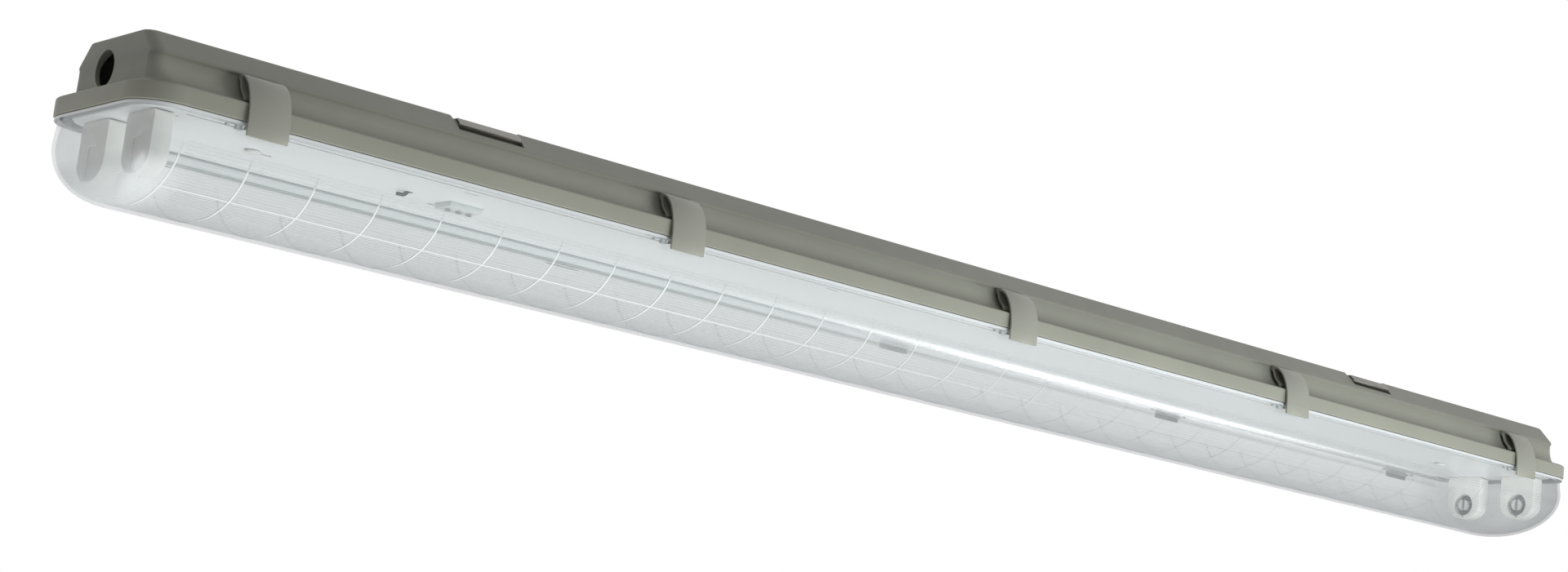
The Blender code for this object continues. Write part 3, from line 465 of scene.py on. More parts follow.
def dress_node(node: bpy.types.Object, finish: bpy.types.Material) -> None:
    """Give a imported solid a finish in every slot.

    Args:
        node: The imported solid.
        finish: Its new material.
    """
    if not node.material_slots:
        node.data.materials.append(finish)
    for slot in node.material_slots:
        slot.material = finish


def paint(piece: bpy.types.Object, finish: bpy.types.Material) -> None:
    """Give a new piece one finish, in place of any that it has."""
    piece.data.materials.clear()
    piece.data.materials.append(finish)


# Finishes

def dimmed(colour: Colour, factor: float) -> Colour:
    """A colour times a factor, with no part of it above 1."""
    return tuple(min(value * factor, 1.0) for value in colour)


class NodeSketch:
    """A material's node tree, with short calls that add and join its nodes."""

    def __init__(self, name: str) -> None:
        """Start a material with a Principled shader.

        Args:
            name: Name of the material.
        """
        self.material = bpy.data.materials.new(name)
        self.material.use_nodes = True
        self.tree = self.material.node_tree
        self.shader = self.tree.nodes["Principled BSDF"]
        self.place = self.tree.nodes.new("ShaderNodeTexCoord").outputs["Object"]

    def feed(self, target: bpy.types.NodeSocket, value: object) -> None:
        """Give a socket a value, or join another socket to it.

        Args:
            target: Socket that receives.
            value: A plain value or a socket.
        """
        if isinstance(value, bpy.types.NodeSocket):
            self.tree.links.new(value, target)
        else:
            target.default_value = value

    def look(self, name: str, value: object) -> None:
        """Feed an entry of the Principled shader."""
        self.feed(self.shader.inputs[name], value)

    def node(self, kind: str, entries: dict[str | int, object], **values: object) -> bpy.types.Node:
        """Add a node, set its properties and feed its entries.

        Args:
            kind: Its type, without the words in front that all shader nodes share.
            entries: A plain value or a socket for each entry, by its name or number.
            values: Properties of the node.

        Returns:
            The new node.
        """
        node = self.tree.nodes.new("ShaderNode" + kind)
        for key, value in values.items():
            setattr(node, key, value)
        for key, value in entries.items():
            self.feed(node.inputs[key], value)
        return node

    def reckon(self, operation: str, *terms: object) -> bpy.types.NodeSocket:
        """The outcome of one operation on numbers, each a plain value or a socket."""
        return self.node("Math", dict(enumerate(terms)), operation=operation).outputs["Value"]

    def noise(self, scale: float, detail: float = 3.0, stretch: tuple[float, float, float] = (1, 1, 1),
              roughness: float = 0.55) -> bpy.types.NodeSocket:
        """A noise pattern of the object's own place.

        Args:
            scale: Pattern repeats in a metre.
            detail: Octaves of the pattern.
            stretch: Factors on the three coordinates.
            roughness: Strength of the finer octaves.

        Returns:
            The pattern's value, from 0 to 1.
        """
        mapping = self.node("Mapping", {"Vector": self.place, "Scale": stretch})
        noise = self.node("TexNoise", {"Vector": mapping.outputs["Vector"], "Scale": scale,
                                       "Detail": detail, "Roughness": roughness})
        return noise.outputs["Fac"]

    def blend(self, factor: bpy.types.NodeSocket, low: Colour, high: Colour,
              low_at: float = 0.35, high_at: float = 0.65) -> bpy.types.NodeSocket:
        """A colour that runs from low to high as a factor runs between two values.

        Args:
            factor: The factor.
            low: Colour below the first value.
            high: Colour above the second value.
            low_at: First value.
            high_at: Second value.

        Returns:
            The colour.
        """
        ramp = self.node("ValToRGB", {"Fac": factor})
        for number, (colour, value) in enumerate(((low, low_at), (high, high_at))):
            ramp.color_ramp.elements[number].position = value
            ramp.color_ramp.elements[number].color = (*colour, 1)
        return ramp.outputs["Color"]

    def spread(self, factor: bpy.types.NodeSocket, low: float, high: float) -> bpy.types.NodeSocket:
        """A number that runs from low to high as a factor runs from 0 to 1."""
        return self.node("MapRange", {"Value": factor, "To Min": low, "To Max": high}).outputs["Result"]

    def ramp(self, axis: str, start: float, stop: float, mirrored: bool = False) -> bpy.types.NodeSocket:
        """A number that runs from 0 to 1 between two places along an axis.

        Args:
            axis: X, Y or Z.
            start: Place where it is 0.
            stop: Place where it is 1.
            mirrored: True takes the distance from the origin as the place.

        Returns:
            The number.
        """
        place = self.node("SeparateXYZ", {"Vector": self.place}).outputs[axis]
        if mirrored:
            place = self.reckon("ABSOLUTE", place)
        ramp = self.node("MapRange", {
            "Value": place, "From Min": min(start, stop), "From Max": max(start, stop),
            "To Min": float(start > stop), "To Max": float(start < stop)})
        return ramp.outputs["Result"]

    def bump(self, height: bpy.types.NodeSocket, strength: float, distance: float) -> None:
        """Raise the surface by a height pattern, to a distance in metres."""
        bump = self.node("Bump", {"Height": height, "Strength": strength, "Distance": distance})
        self.look("Normal", bump.outputs["Normal"])

    def graze(self, least: float, most: float, power: float) -> bpy.types.NodeSocket:
        """How much a clear surface mirrors: least + (most - least) * slant^power, where slant is 0 to 1.

        Args:
            least: Share that it mirrors face on.
            most: Share that it mirrors edge on.
            power: How late the share grows.

        Returns:
            The share.
        """
        facing = self.node("LayerWeight", {"Blend": 0.5}).outputs["Facing"]
        return self.spread(self.reckon("POWER", facing, power), least, most)


@dataclass(frozen=True)
class Opaque:
    """What opaque finishes share: a colour, gloss clouds and a fine grain."""

    name: str
    colour: Colour
    gloss_low: float = 0.30
    gloss_high: float = 0.40
    grain: float = 0.02 * MM
    grain_scale: float = 3000.0
    relief: float = 0.35
    cloud_scale: float = 9.0
    gloss_scale: float = 60.0

    def tint(self, sketch: NodeSketch) -> None:
        """Feed the shader an even colour; the finishes below have their own way."""
        sketch.look("Base Color", (*self.colour, 1))

    def material(self) -> bpy.types.Material:
        """The finish's colour, under roughness clouds and a relief.

        Returns:
            The material.
        """
        sketch = NodeSketch(self.name)
        self.tint(sketch)
        clouds = sketch.noise(self.gloss_scale)
        sketch.look("Roughness", sketch.spread(clouds, self.gloss_low, self.gloss_high))
        sketch.bump(sketch.noise(self.grain_scale, detail=2.0), self.relief, self.grain)
        return sketch.material


@dataclass(frozen=True)
class MouldedPlastic(Opaque):
    """A moulded plastic with colour clouds and painted shade by height, for less light on the high parts;
    some of it glows from within.
    """

    variation: float = 0.03
    glow: float = 0.0
    low_shade: float = 1.0
    high_shade: float = 1.0
    shade_run: tuple[float, float] = (-20 * MM, -14 * MM)
    glow_radius: tuple[float, float, float] = (4.0 * MM, 4.0 * MM, 3.6 * MM)
    glow_scale: float = 0.4

    def tint(self, sketch: NodeSketch) -> None:
        """Colour clouds, times painted shade that is darker on the high parts, where less light falls.

        Args:
            sketch: The material's node tree.
        """
        clouds = sketch.noise(self.cloud_scale, detail=4.0)
        colour = sketch.blend(clouds, dimmed(self.colour, 1 - self.variation),
                              dimmed(self.colour, 1 + self.variation))
        # Painted shade: the colour is scaled by height, darker on the high shoulder, which gets less light.
        shade = sketch.spread(sketch.ramp("Z", *self.shade_run), self.low_shade, self.high_shade)
        shaded = sketch.node("VectorMath", {"Vector": colour, "Scale": shade}, operation="SCALE")
        sketch.look("Base Color", shaded.outputs["Vector"])
        if self.glow:
            sketch.look("Subsurface Weight", self.glow)
            sketch.look("Subsurface Radius", self.glow_radius)
            sketch.look("Subsurface Scale", self.glow_scale)


@dataclass(frozen=True)
class RingedPlastic(Opaque):
    """A white hub in a ring with painted shade that darkens with its depth, at both ends of the luminaire."""

    gloss_high: float = 0.42
    relief: float = 0.3
    gloss_scale: float = 80.0
    ring_colour: Colour = (0.055, 0.075, 0.07)
    ring_run: tuple[float, float] = (604.5 * MM, 605.9 * MM)

    def tint(self, sketch: NodeSketch) -> None:
        """White on the hub, with painted shade darker down in the ring round it."""
        # Painted shade: the ring's colour runs to near black with depth, for the shadow in the recess.
        deep = sketch.ramp("X", *self.ring_run, mirrored=True)
        sketch.look("Base Color", sketch.blend(deep, self.colour, self.ring_colour, 0.0, 1.0))


@dataclass(frozen=True)
class PaintedSheet(Opaque):
    """White paint on sheet steel, with a faint orange peel."""

    gloss_low: float = 0.26
    gloss_high: float = 0.36
    grain: float = 0.05 * MM
    grain_scale: float = 700.0
    relief: float = 0.18
    cloud_scale: float = 5.0
    gloss_scale: float = 40.0
    dull: float = 0.975
    bright: float = 1.02

    def tint(self, sketch: NodeSketch) -> None:
        """A near-even white."""
        sketch.look("Base Color", sketch.blend(
            sketch.noise(self.cloud_scale), dimmed(self.colour, self.dull), dimmed(self.colour, self.bright)))


@dataclass(frozen=True)
class RolledMetal:
    """Bare rolled or turned metal with fine lines along one direction."""

    name: str
    colour: Colour
    lines: tuple[float, float, float]
    roughness: float
    line_scale: float = 1500.0
    line_detail: float = 4.0
    line_roughness: float = 0.7
    dark: float = 0.86
    bright: float = 1.08
    smoother: float = 0.06
    rougher: float = 0.12
    line_depth: float = 0.03 * MM
    relief: float = 0.2

    def material(self) -> bpy.types.Material:
        """Metal with drawn lines in its colour, roughness and relief.

        Returns:
            The material.
        """
        sketch = NodeSketch(self.name)
        drawn = sketch.noise(self.line_scale, self.line_detail, self.lines, self.line_roughness)
        sketch.look("Base Color", sketch.blend(
            drawn, dimmed(self.colour, self.dark), dimmed(self.colour, self.bright), low_at=0.3, high_at=0.7))
        sketch.look("Metallic", 1.0)
        sketch.look("Roughness", sketch.spread(
            drawn, self.roughness - self.smoother, self.roughness + self.rougher))
        sketch.bump(drawn, self.relief, self.line_depth)
        return sketch.material


@dataclass(frozen=True)
class ClearPlastic:
    """Clear moulded plastic that is seen through, with a haze and a mirror sheen.

    A run is the pair of places between which something sets in: the painted shade of the right end, the
    flange's haze with its painted highlight, the painted highlight of haze at the left end's foot, the ribs'
    foot, and the painted light that keeps the ribs and lines strong at the left.
    """

    name: str
    tint: Colour
    haze: float
    haze_colour: Colour
    roughness: float
    streaks: float
    sheen: float
    flange_haze: float = 0.0
    flange_colour: Colour = (0.52, 0.535, 0.54)
    end_haze: float = 0.0
    end_shade: float = 1.0
    low_only: bool = False
    left_only: bool = False
    low_rest: float = 0.12
    left_rest: float = 0.1
    shade_run: tuple[float, float] = (575 * MM, 628 * MM)
    flange_run: tuple[float, float] = (-42.7 * MM, -42.3 * MM)
    hip_run: tuple[float, float] = (-590 * MM, -620 * MM)
    hip_drop: tuple[float, float] = (-64 * MM, -80 * MM)
    low_run: tuple[float, float] = (-62 * MM, -65.5 * MM)
    left_run: tuple[float, float] = (130 * MM, -260 * MM)
    flow_scale: float = 14.0
    flow_stretch: tuple[float, float, float] = (0.25, 1.0, 1.0)
    milk_roughness: float = 0.35
    mirror_tint: Colour = (0.95, 0.96, 0.97)
    face_sheen: float = 0.045
    sheen_power: float = 4.2

    def cloud(self, sketch: NodeSketch, thick: bpy.types.NodeSocket) -> bpy.types.NodeSocket:
        """How much of the surface is haze.

        The share is haze + streaks * (2 * flow - 1) + flange_haze * thick + end_haze * hip_highlight, the
        last term a painted highlight.
        With low_only it falls to low_rest of that above low_run, and with left_only, a painted light, to
        left_rest right of left_run.

        Args:
            sketch: The material's node tree.
            thick: Number that is 1 in the flange.

        Returns:
            The share.
        """
        flow = sketch.noise(self.flow_scale, 4.0, stretch=self.flow_stretch)
        cloud = sketch.spread(flow, self.haze - self.streaks, self.haze + self.streaks)
        cloud = sketch.reckon("MULTIPLY_ADD", thick, self.flange_haze, cloud)
        # Painted highlight: extra haze at the left end's foot stands in for the milky highlight that light
        # makes on that corner.
        hip_highlight = sketch.reckon("MULTIPLY", sketch.ramp("X", *self.hip_run), sketch.ramp("Z", *self.hip_drop))
        cloud = sketch.reckon("MULTIPLY_ADD", hip_highlight, self.end_haze, cloud)
        # Painted light and shade: with the left-only choice a mark stays strong only at the left, where the
        # light falls on it.
        for chosen, axis, run, rest in ((self.low_only, "Z", self.low_run, self.low_rest),
                                        (self.left_only, "X", self.left_run, self.left_rest)):
            if chosen:
                kept = sketch.spread(sketch.ramp(axis, *run), rest, 1.0)
                cloud = sketch.reckon("MULTIPLY", cloud, kept)
        return cloud

    def material(self) -> bpy.types.Material:
        """A see-through shader under a haze, under a mirror that grows where it is seen at a slant.

        Returns:
            The material.
        """
        sketch = NodeSketch(self.name)
        right, thick = sketch.ramp("X", *self.shade_run), sketch.ramp("Z", *self.flange_run)
        # Painted shade: the see-through tint is dimmed at the right end.
        tint = sketch.blend(right, self.tint, dimmed(self.tint, self.end_shade), 0.0, 1.0)
        clear = sketch.node("BsdfTransparent", {"Color": tint})
        sketch.look("Roughness", self.milk_roughness)
        # The flange's pale haze is partly the thick moulding's own milkiness and partly a painted highlight
        # for the light its edge catches.
        sketch.look("Base Color", sketch.blend(thick, self.haze_colour, self.flange_colour, 0.0, 1.0))
        milky = sketch.node("MixShader", {"Fac": self.cloud(sketch, thick), 1: clear.outputs["BSDF"],
                                          2: sketch.shader.outputs["BSDF"]})
        mirror = sketch.node("BsdfGlossy", {"Color": (*self.mirror_tint, 1), "Roughness": self.roughness})
        whole = sketch.node("MixShader", {
            "Fac": sketch.graze(self.face_sheen, self.sheen, self.sheen_power),
            1: milky.outputs["Shader"], 2: mirror.outputs["BSDF"]})
        sketch.feed(sketch.tree.nodes["Material Output"].inputs["Surface"], whole.outputs["Shader"])
        return sketch.material


# The canopy's shoulder gets painted shade: its colour is scaled down to 0.74 above the cove.
CANOPY_GREY = MouldedPlastic("canopy_grey", (0.205, 0.205, 0.168), 0.44, 0.56, 0.05 * MM, 2200.0,
                             variation=0.06, low_shade=0.98, high_shade=0.74)
# Painted light: the far clips get a paler copy of the clips' colour, for the light that falls on them from
# the far side.
CLIP_PAINTED_LIGHT = MouldedPlastic("clip_pale", (0.28, 0.276, 0.236), 0.34, 0.46)
CLIP_OLIVE = MouldedPlastic("clip_olive", (0.205, 0.205, 0.172), 0.34, 0.46)
HOLDER_WHITE = MouldedPlastic("holder_white", (0.86, 0.855, 0.815), 0.30, 0.40, glow=0.25)
ROTOR_WHITE = MouldedPlastic("rotor_white", (0.70, 0.71, 0.68), 0.30, 0.40, variation=0.02)
# The rotor's ring carries painted shade, darker with depth.
ROTOR_RING_SHADED = RingedPlastic("rotor_white", ROTOR_WHITE.colour)
TERMINAL_CLEAR = MouldedPlastic("terminal_pale", (0.60, 0.63, 0.62), 0.25, 0.35, variation=0.04, glow=0.2)
SEAL_FOAM = MouldedPlastic("seal_foam", (0.60, 0.60, 0.58), 0.85, 0.95, 0.12 * MM, 1200.0, variation=0.08)
BALLAST_GREY = PaintedSheet("ballast_case", (0.66, 0.67, 0.66))
TRAY_WHITE = PaintedSheet("tray_white", (0.80, 0.815, 0.815))
STAINLESS = RolledMetal("stainless", (0.27, 0.265, 0.245), (0.04, 1.0, 1.0), 0.42)
SCREW_STEEL = RolledMetal("screw_steel", (0.62, 0.62, 0.60), (1.0, 1.0, 0.2), 0.28)
BRASS = RolledMetal("brass", (0.74, 0.55, 0.26), (1.0, 1.0, 0.3), 0.26)
LEAD_WHITE = MouldedPlastic("lead_white", (0.66, 0.66, 0.63), 0.38, 0.48, grain_scale=2500.0)
LEAD_BLACK = MouldedPlastic("lead_black", (0.022, 0.022, 0.022), 0.36, 0.46, grain_scale=2500.0,
                            variation=0.05)
# The cover carries painted shade at its right end, a painted highlight of haze at the left end's foot, and
# flange haze that is partly painted highlight.
DIFFUSER_CLEAR = ClearPlastic("diffuser_clear", (0.888, 0.893, 0.893), 0.06, (0.72, 0.75, 0.76), 0.22,
                              0.02, 0.35, flange_haze=0.75, end_haze=0.30, end_shade=0.85)
# These finishes, and the two below, stay strong only at the left: painted light and shade for where the light
# falls.
RIB_CLEAR = ClearPlastic("rib_clear", (1.0, 1.0, 1.0), 0.80, (0.80, 0.81, 0.81), 0.12, 0.03, 0.06,
                         low_only=True, left_only=True)
LINE_CLEAR = ClearPlastic("line_clear", (1.0, 1.0, 1.0), 0.80, (0.80, 0.81, 0.81), 0.12, 0.03, 0.06,
                          left_only=True)
# Painted light: a pale strip on the far wall where light falls in the gap under the flange.
PAINTED_LIGHT_BAND = ClearPlastic("band_clear", (1.0, 1.0, 1.0), 0.90, (0.80, 0.815, 0.815), 0.3, 0.02, 0.05,
                          left_only=True)
# Painted shade: dark strips for the shadow under the flange.
SHADE_CLEAR = ClearPlastic("shade_line", (0.97, 0.97, 0.97), 0.85, (0.44, 0.46, 0.45), 0.3, 0.05, 0.05,
                           left_only=True)
PRISM_CLEAR = ClearPlastic("prism_clear", (1.0, 1.0, 1.0), 0.07, (0.75, 0.78, 0.78), 0.2, 0.02, 0.05)
LUG_CLEAR = ClearPlastic("lug_clear", (0.93, 0.95, 0.95), 0.6, (0.45, 0.48, 0.48), 0.3, 0.05, 0.2)


# Sub-assemblies

@dataclass
class Canopy:
    """The grey housing: flat top, sloping shoulders, coved sides, rim, groove, saddles and cable entry."""

    half_length: float = HALF_LENGTH
    half_width: float = HALF_WIDTH
    top_half: float = 33.0 * MM
    top_edge: float = 1.2 * MM
    top_edge_drop: float = 0.5 * MM
    crease_half: float = 45.0 * MM
    crease_depth: float = 12.6 * MM
    cove_half: float = COVE_HALF
    cove_depth: float = COVE_DEPTH
    cove_lead: float = 0.3 * MM
    neck_out: float = 0.1 * MM
    neck_drop: float = 1.2 * MM
    top_soft: tuple[float, float, float] = (1.4 * MM, 1.5 * MM, 0.6 * MM)
    foot_half: float = FOOT_HALF
    foot_depth: float = FOOT_DEPTH
    rim_ledge: float = 0.75 * MM
    rim_ledge_drop: float = 0.05 * MM
    rim_top: float = 31.2 * MM
    rim_foot: float = RIM_FOOT
    rim_bevel: float = 0.4 * MM
    rim_soft: tuple[float, float] = (0.5 * MM, 0.3 * MM)
    end_inset: float = 9.8 * MM
    top_corner: float = 6.0 * MM
    crease_corner: float = 7.0 * MM
    rim_corner: float = RIM_CORNER
    end_cove: float = 3.6 * MM
    wall: float = 2.5 * MM
    top_wall: float = 6.0 * MM
    ceiling_half: float = 33.7 * MM
    inner_turns: tuple[float, ...] = (50.0, 42.0, 35.0, 26.0, 18.0, 9.0, 0.0)
    groove_width: float = 4.5 * MM
    groove_roof: float = 33.5 * MM
    lip_width: float = 2.0 * MM
    lip_foot: float = 39.0 * MM
    lip_bevel: float = 0.3 * MM
    entry_radius: float = 10.25 * MM
    entry_offset: float = 9.0 * MM
    entry_depth: float = 16.8 * MM
    saddle_x: float = 400.0 * MM
    saddle_shift: float = 10.5 * MM
    saddle_width: float = 47.0 * MM
    saddle_depth: float = 3.0 * MM
    saddle_corner: float = 2.2 * MM
    slot_length: float = 44.0 * MM
    slot_height: float = 5.0 * MM
    slot_bar: float = 3.6 * MM
    slot_depth: float = 2.2 * MM
    post_x: float = 534.0 * MM
    post_radius: float = 5.5 * MM
    post_bore: float = 2.7 * MM
    post_foot: float = 38.6 * MM
    bore_depth: float = 10.0 * MM

    def end_inset_at(self, depth: np.ndarray) -> np.ndarray:
        """How far the end wall lies inside the rim: straight, then e * sqrt(1 - t^2) at its foot.

        Args:
            depth: Depths below the top.

        Returns:
            The inset at each depth.
        """
        step = self.half_width - self.foot_half
        share = np.clip((depth - (self.foot_depth - self.end_cove)) / self.end_cove, 0, 1)
        return step + (self.end_inset - step) * np.sqrt(1 - share ** 2)

    def outer_profile(self) -> np.ndarray:
        """The outside, from the top to the rim.

        The cove is a quarter ellipse: width = foot - reach * cos(t), depth = cove + drop * sin(t).

        Returns:
            Rows of half length, half width, corner and depth.
        """
        edge, side, corner = self.half_length, self.half_width, self.rim_corner
        end = edge - self.end_inset
        top = rounded(np.array([
            [end - self.top_edge, self.top_half - self.top_edge, self.top_corner, 0],
            [end, self.top_half, self.top_corner, self.top_edge_drop],
            [end, self.crease_half, self.crease_corner, self.crease_depth],
            [end, self.cove_half, self.crease_corner, self.cove_depth - self.cove_lead],
            [end, self.cove_half + self.neck_out, self.crease_corner, self.cove_depth + self.neck_drop],
        ]), [0, *self.top_soft, 0])
        turn = sweep(6, 90, 20)
        width = self.foot_half - (self.foot_half - self.cove_half) * np.cos(turn)
        depth = self.cove_depth + (self.foot_depth - self.cove_depth) * np.sin(turn)
        share = (width - self.cove_half) / (self.foot_half - self.cove_half)
        turned = self.crease_corner + (corner - self.crease_corner) * share
        cove = np.stack([edge - self.end_inset_at(depth), width, turned, depth], axis=1)
        ledge, bevel = self.rim_ledge, self.rim_bevel
        rim = rounded(np.array([
            [edge - ledge, side - ledge, corner, self.foot_depth + self.rim_ledge_drop],
            [edge, side, corner, self.rim_top],
            [edge, side, corner, self.rim_foot - bevel],
            [edge - bevel, side - bevel, corner - bevel, self.rim_foot],
        ]), [0, *self.rim_soft, 0], steps=3)
        return np.concatenate([top, cove, rim])

    def inner_profile(self) -> np.ndarray:
        """The inside: skirt, groove roof, lip, and the cove's inner face up to the ceiling.

        Returns:
            Rows of half length, half width, corner and depth.
        """
        lip_out = self.wall + self.groove_width
        lip_in, bevel = lip_out + self.lip_width, self.lip_bevel
        foot, bevelled, roof = self.lip_foot, self.lip_foot - bevel, self.groove_roof
        inset = np.array([self.wall, self.wall, lip_out, lip_out, lip_out + bevel, lip_in - bevel,
                          lip_in, lip_in])
        depth = np.array([self.rim_foot, roof, roof, bevelled, foot, foot, bevelled, roof])
        skirt = np.stack([self.half_length - inset, self.half_width - inset,
                          self.rim_corner - inset, depth], axis=1)
        turn = np.radians(self.inner_turns)
        width = self.foot_half - (self.foot_half - self.cove_half + self.wall) * np.cos(turn)
        depth = self.cove_depth + (self.foot_depth - self.cove_depth + self.wall) * np.sin(turn)
        end = self.half_length - self.end_inset - self.wall
        corner = np.full_like(turn, self.crease_corner - self.wall)
        cove = np.stack([np.full_like(turn, end), width, corner, depth], axis=1)
        ceiling = [[end - self.wall, self.ceiling_half, self.top_corner, self.top_wall]]
        return np.concatenate([skirt, cove, ceiling])

    def slot_cutter(self, x: float, side: Side) -> bpy.types.Object:
        """Cutter of the slot in one shoulder, below a saddle.

        Args:
            x: Middle of the saddle.
            side: Long side of the shoulder.

        Returns:
            The cutter, square to the shoulder's slope.
        """
        down = np.array([self.crease_half - self.top_half, -self.crease_depth])
        down /= np.linalg.norm(down)
        out = np.array([-down[1], down[0]])
        start = np.array([self.top_half, 0.0]) + down * (self.slot_bar + self.saddle_depth / -down[1])
        foot = start + down * self.slot_height
        corners = np.array([start - out * self.slot_depth, start + out * OVERRUN,
                            foot + out * OVERRUN, foot - out * self.slot_depth])
        half = self.slot_length / 2
        return prism("slot_cut", corners * [side.value, 1], x - half, x + half, "X")

    def cutters(self) -> list[bpy.types.Object]:
        """Closed cutters for the saddles, their slots, the cable entry and the posts' bores.

        Returns:
            The cutters.
        """
        cutters = []
        for end in End:
            x = end.value * self.saddle_x - self.saddle_shift
            outline = rounded_box(self.saddle_width, 2 * self.saddle_depth, self.saddle_corner, (x, 0.0))
            outline[:, 1] = np.where(outline[:, 1] > 0, OVERRUN, outline[:, 1])
            cutters.append(prism("saddle_cut", outline[:, ::-1], -self.crease_half, self.crease_half, "Y"))
            cutters += [self.slot_cutter(x, side) for side in Side]
            bore = circle(self.post_bore, steps=24, centre=(end.value * self.post_x, 0.0))
            cutters.append(prism("bore_cut", bore, -self.post_foot - OVERRUN,
                                 -self.post_foot + self.bore_depth, "Z"))
        wall = -(self.half_length - self.end_inset)
        entry = circle(self.entry_radius, steps=64, centre=(self.entry_offset, -self.entry_depth))
        cutters.append(prism("entry_cut", entry, wall - OVERRUN, wall + 3 * self.wall, "X"))
        return cutters

    def build(self) -> bpy.types.Object:
        """Loft the shell, add its posts, and cut its openings.

        Returns:
            The canopy as one closed piece.
        """
        signs = plan_signs(arc_steps=12, long_steps=1, short_steps=1)
        profile = np.concatenate([self.outer_profile(), self.inner_profile()])
        first = np.arange(len(signs))
        last = first + (len(profile) - 1) * len(signs)
        faces = grid_faces(len(profile), len(signs)).tolist() + [first.tolist(), last[::-1].tolist()]
        canopy = make_piece("canopy", plan_rings(profile, signs), faces)
        for end in End:
            post = prism("post", circle(self.post_radius, steps=32, centre=(end.value * self.post_x, 0.0)),
                         -self.post_foot, -self.top_wall + OVERRUN, "Z")
            combine(canopy, [post], "UNION")
        return combine(canopy, self.cutters())

    def dress(self) -> None:
        """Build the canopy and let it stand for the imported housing."""
        canopy = self.build()
        paint(canopy, CANOPY_GREY.material())
        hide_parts("housing")
        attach(canopy, "luminaire")


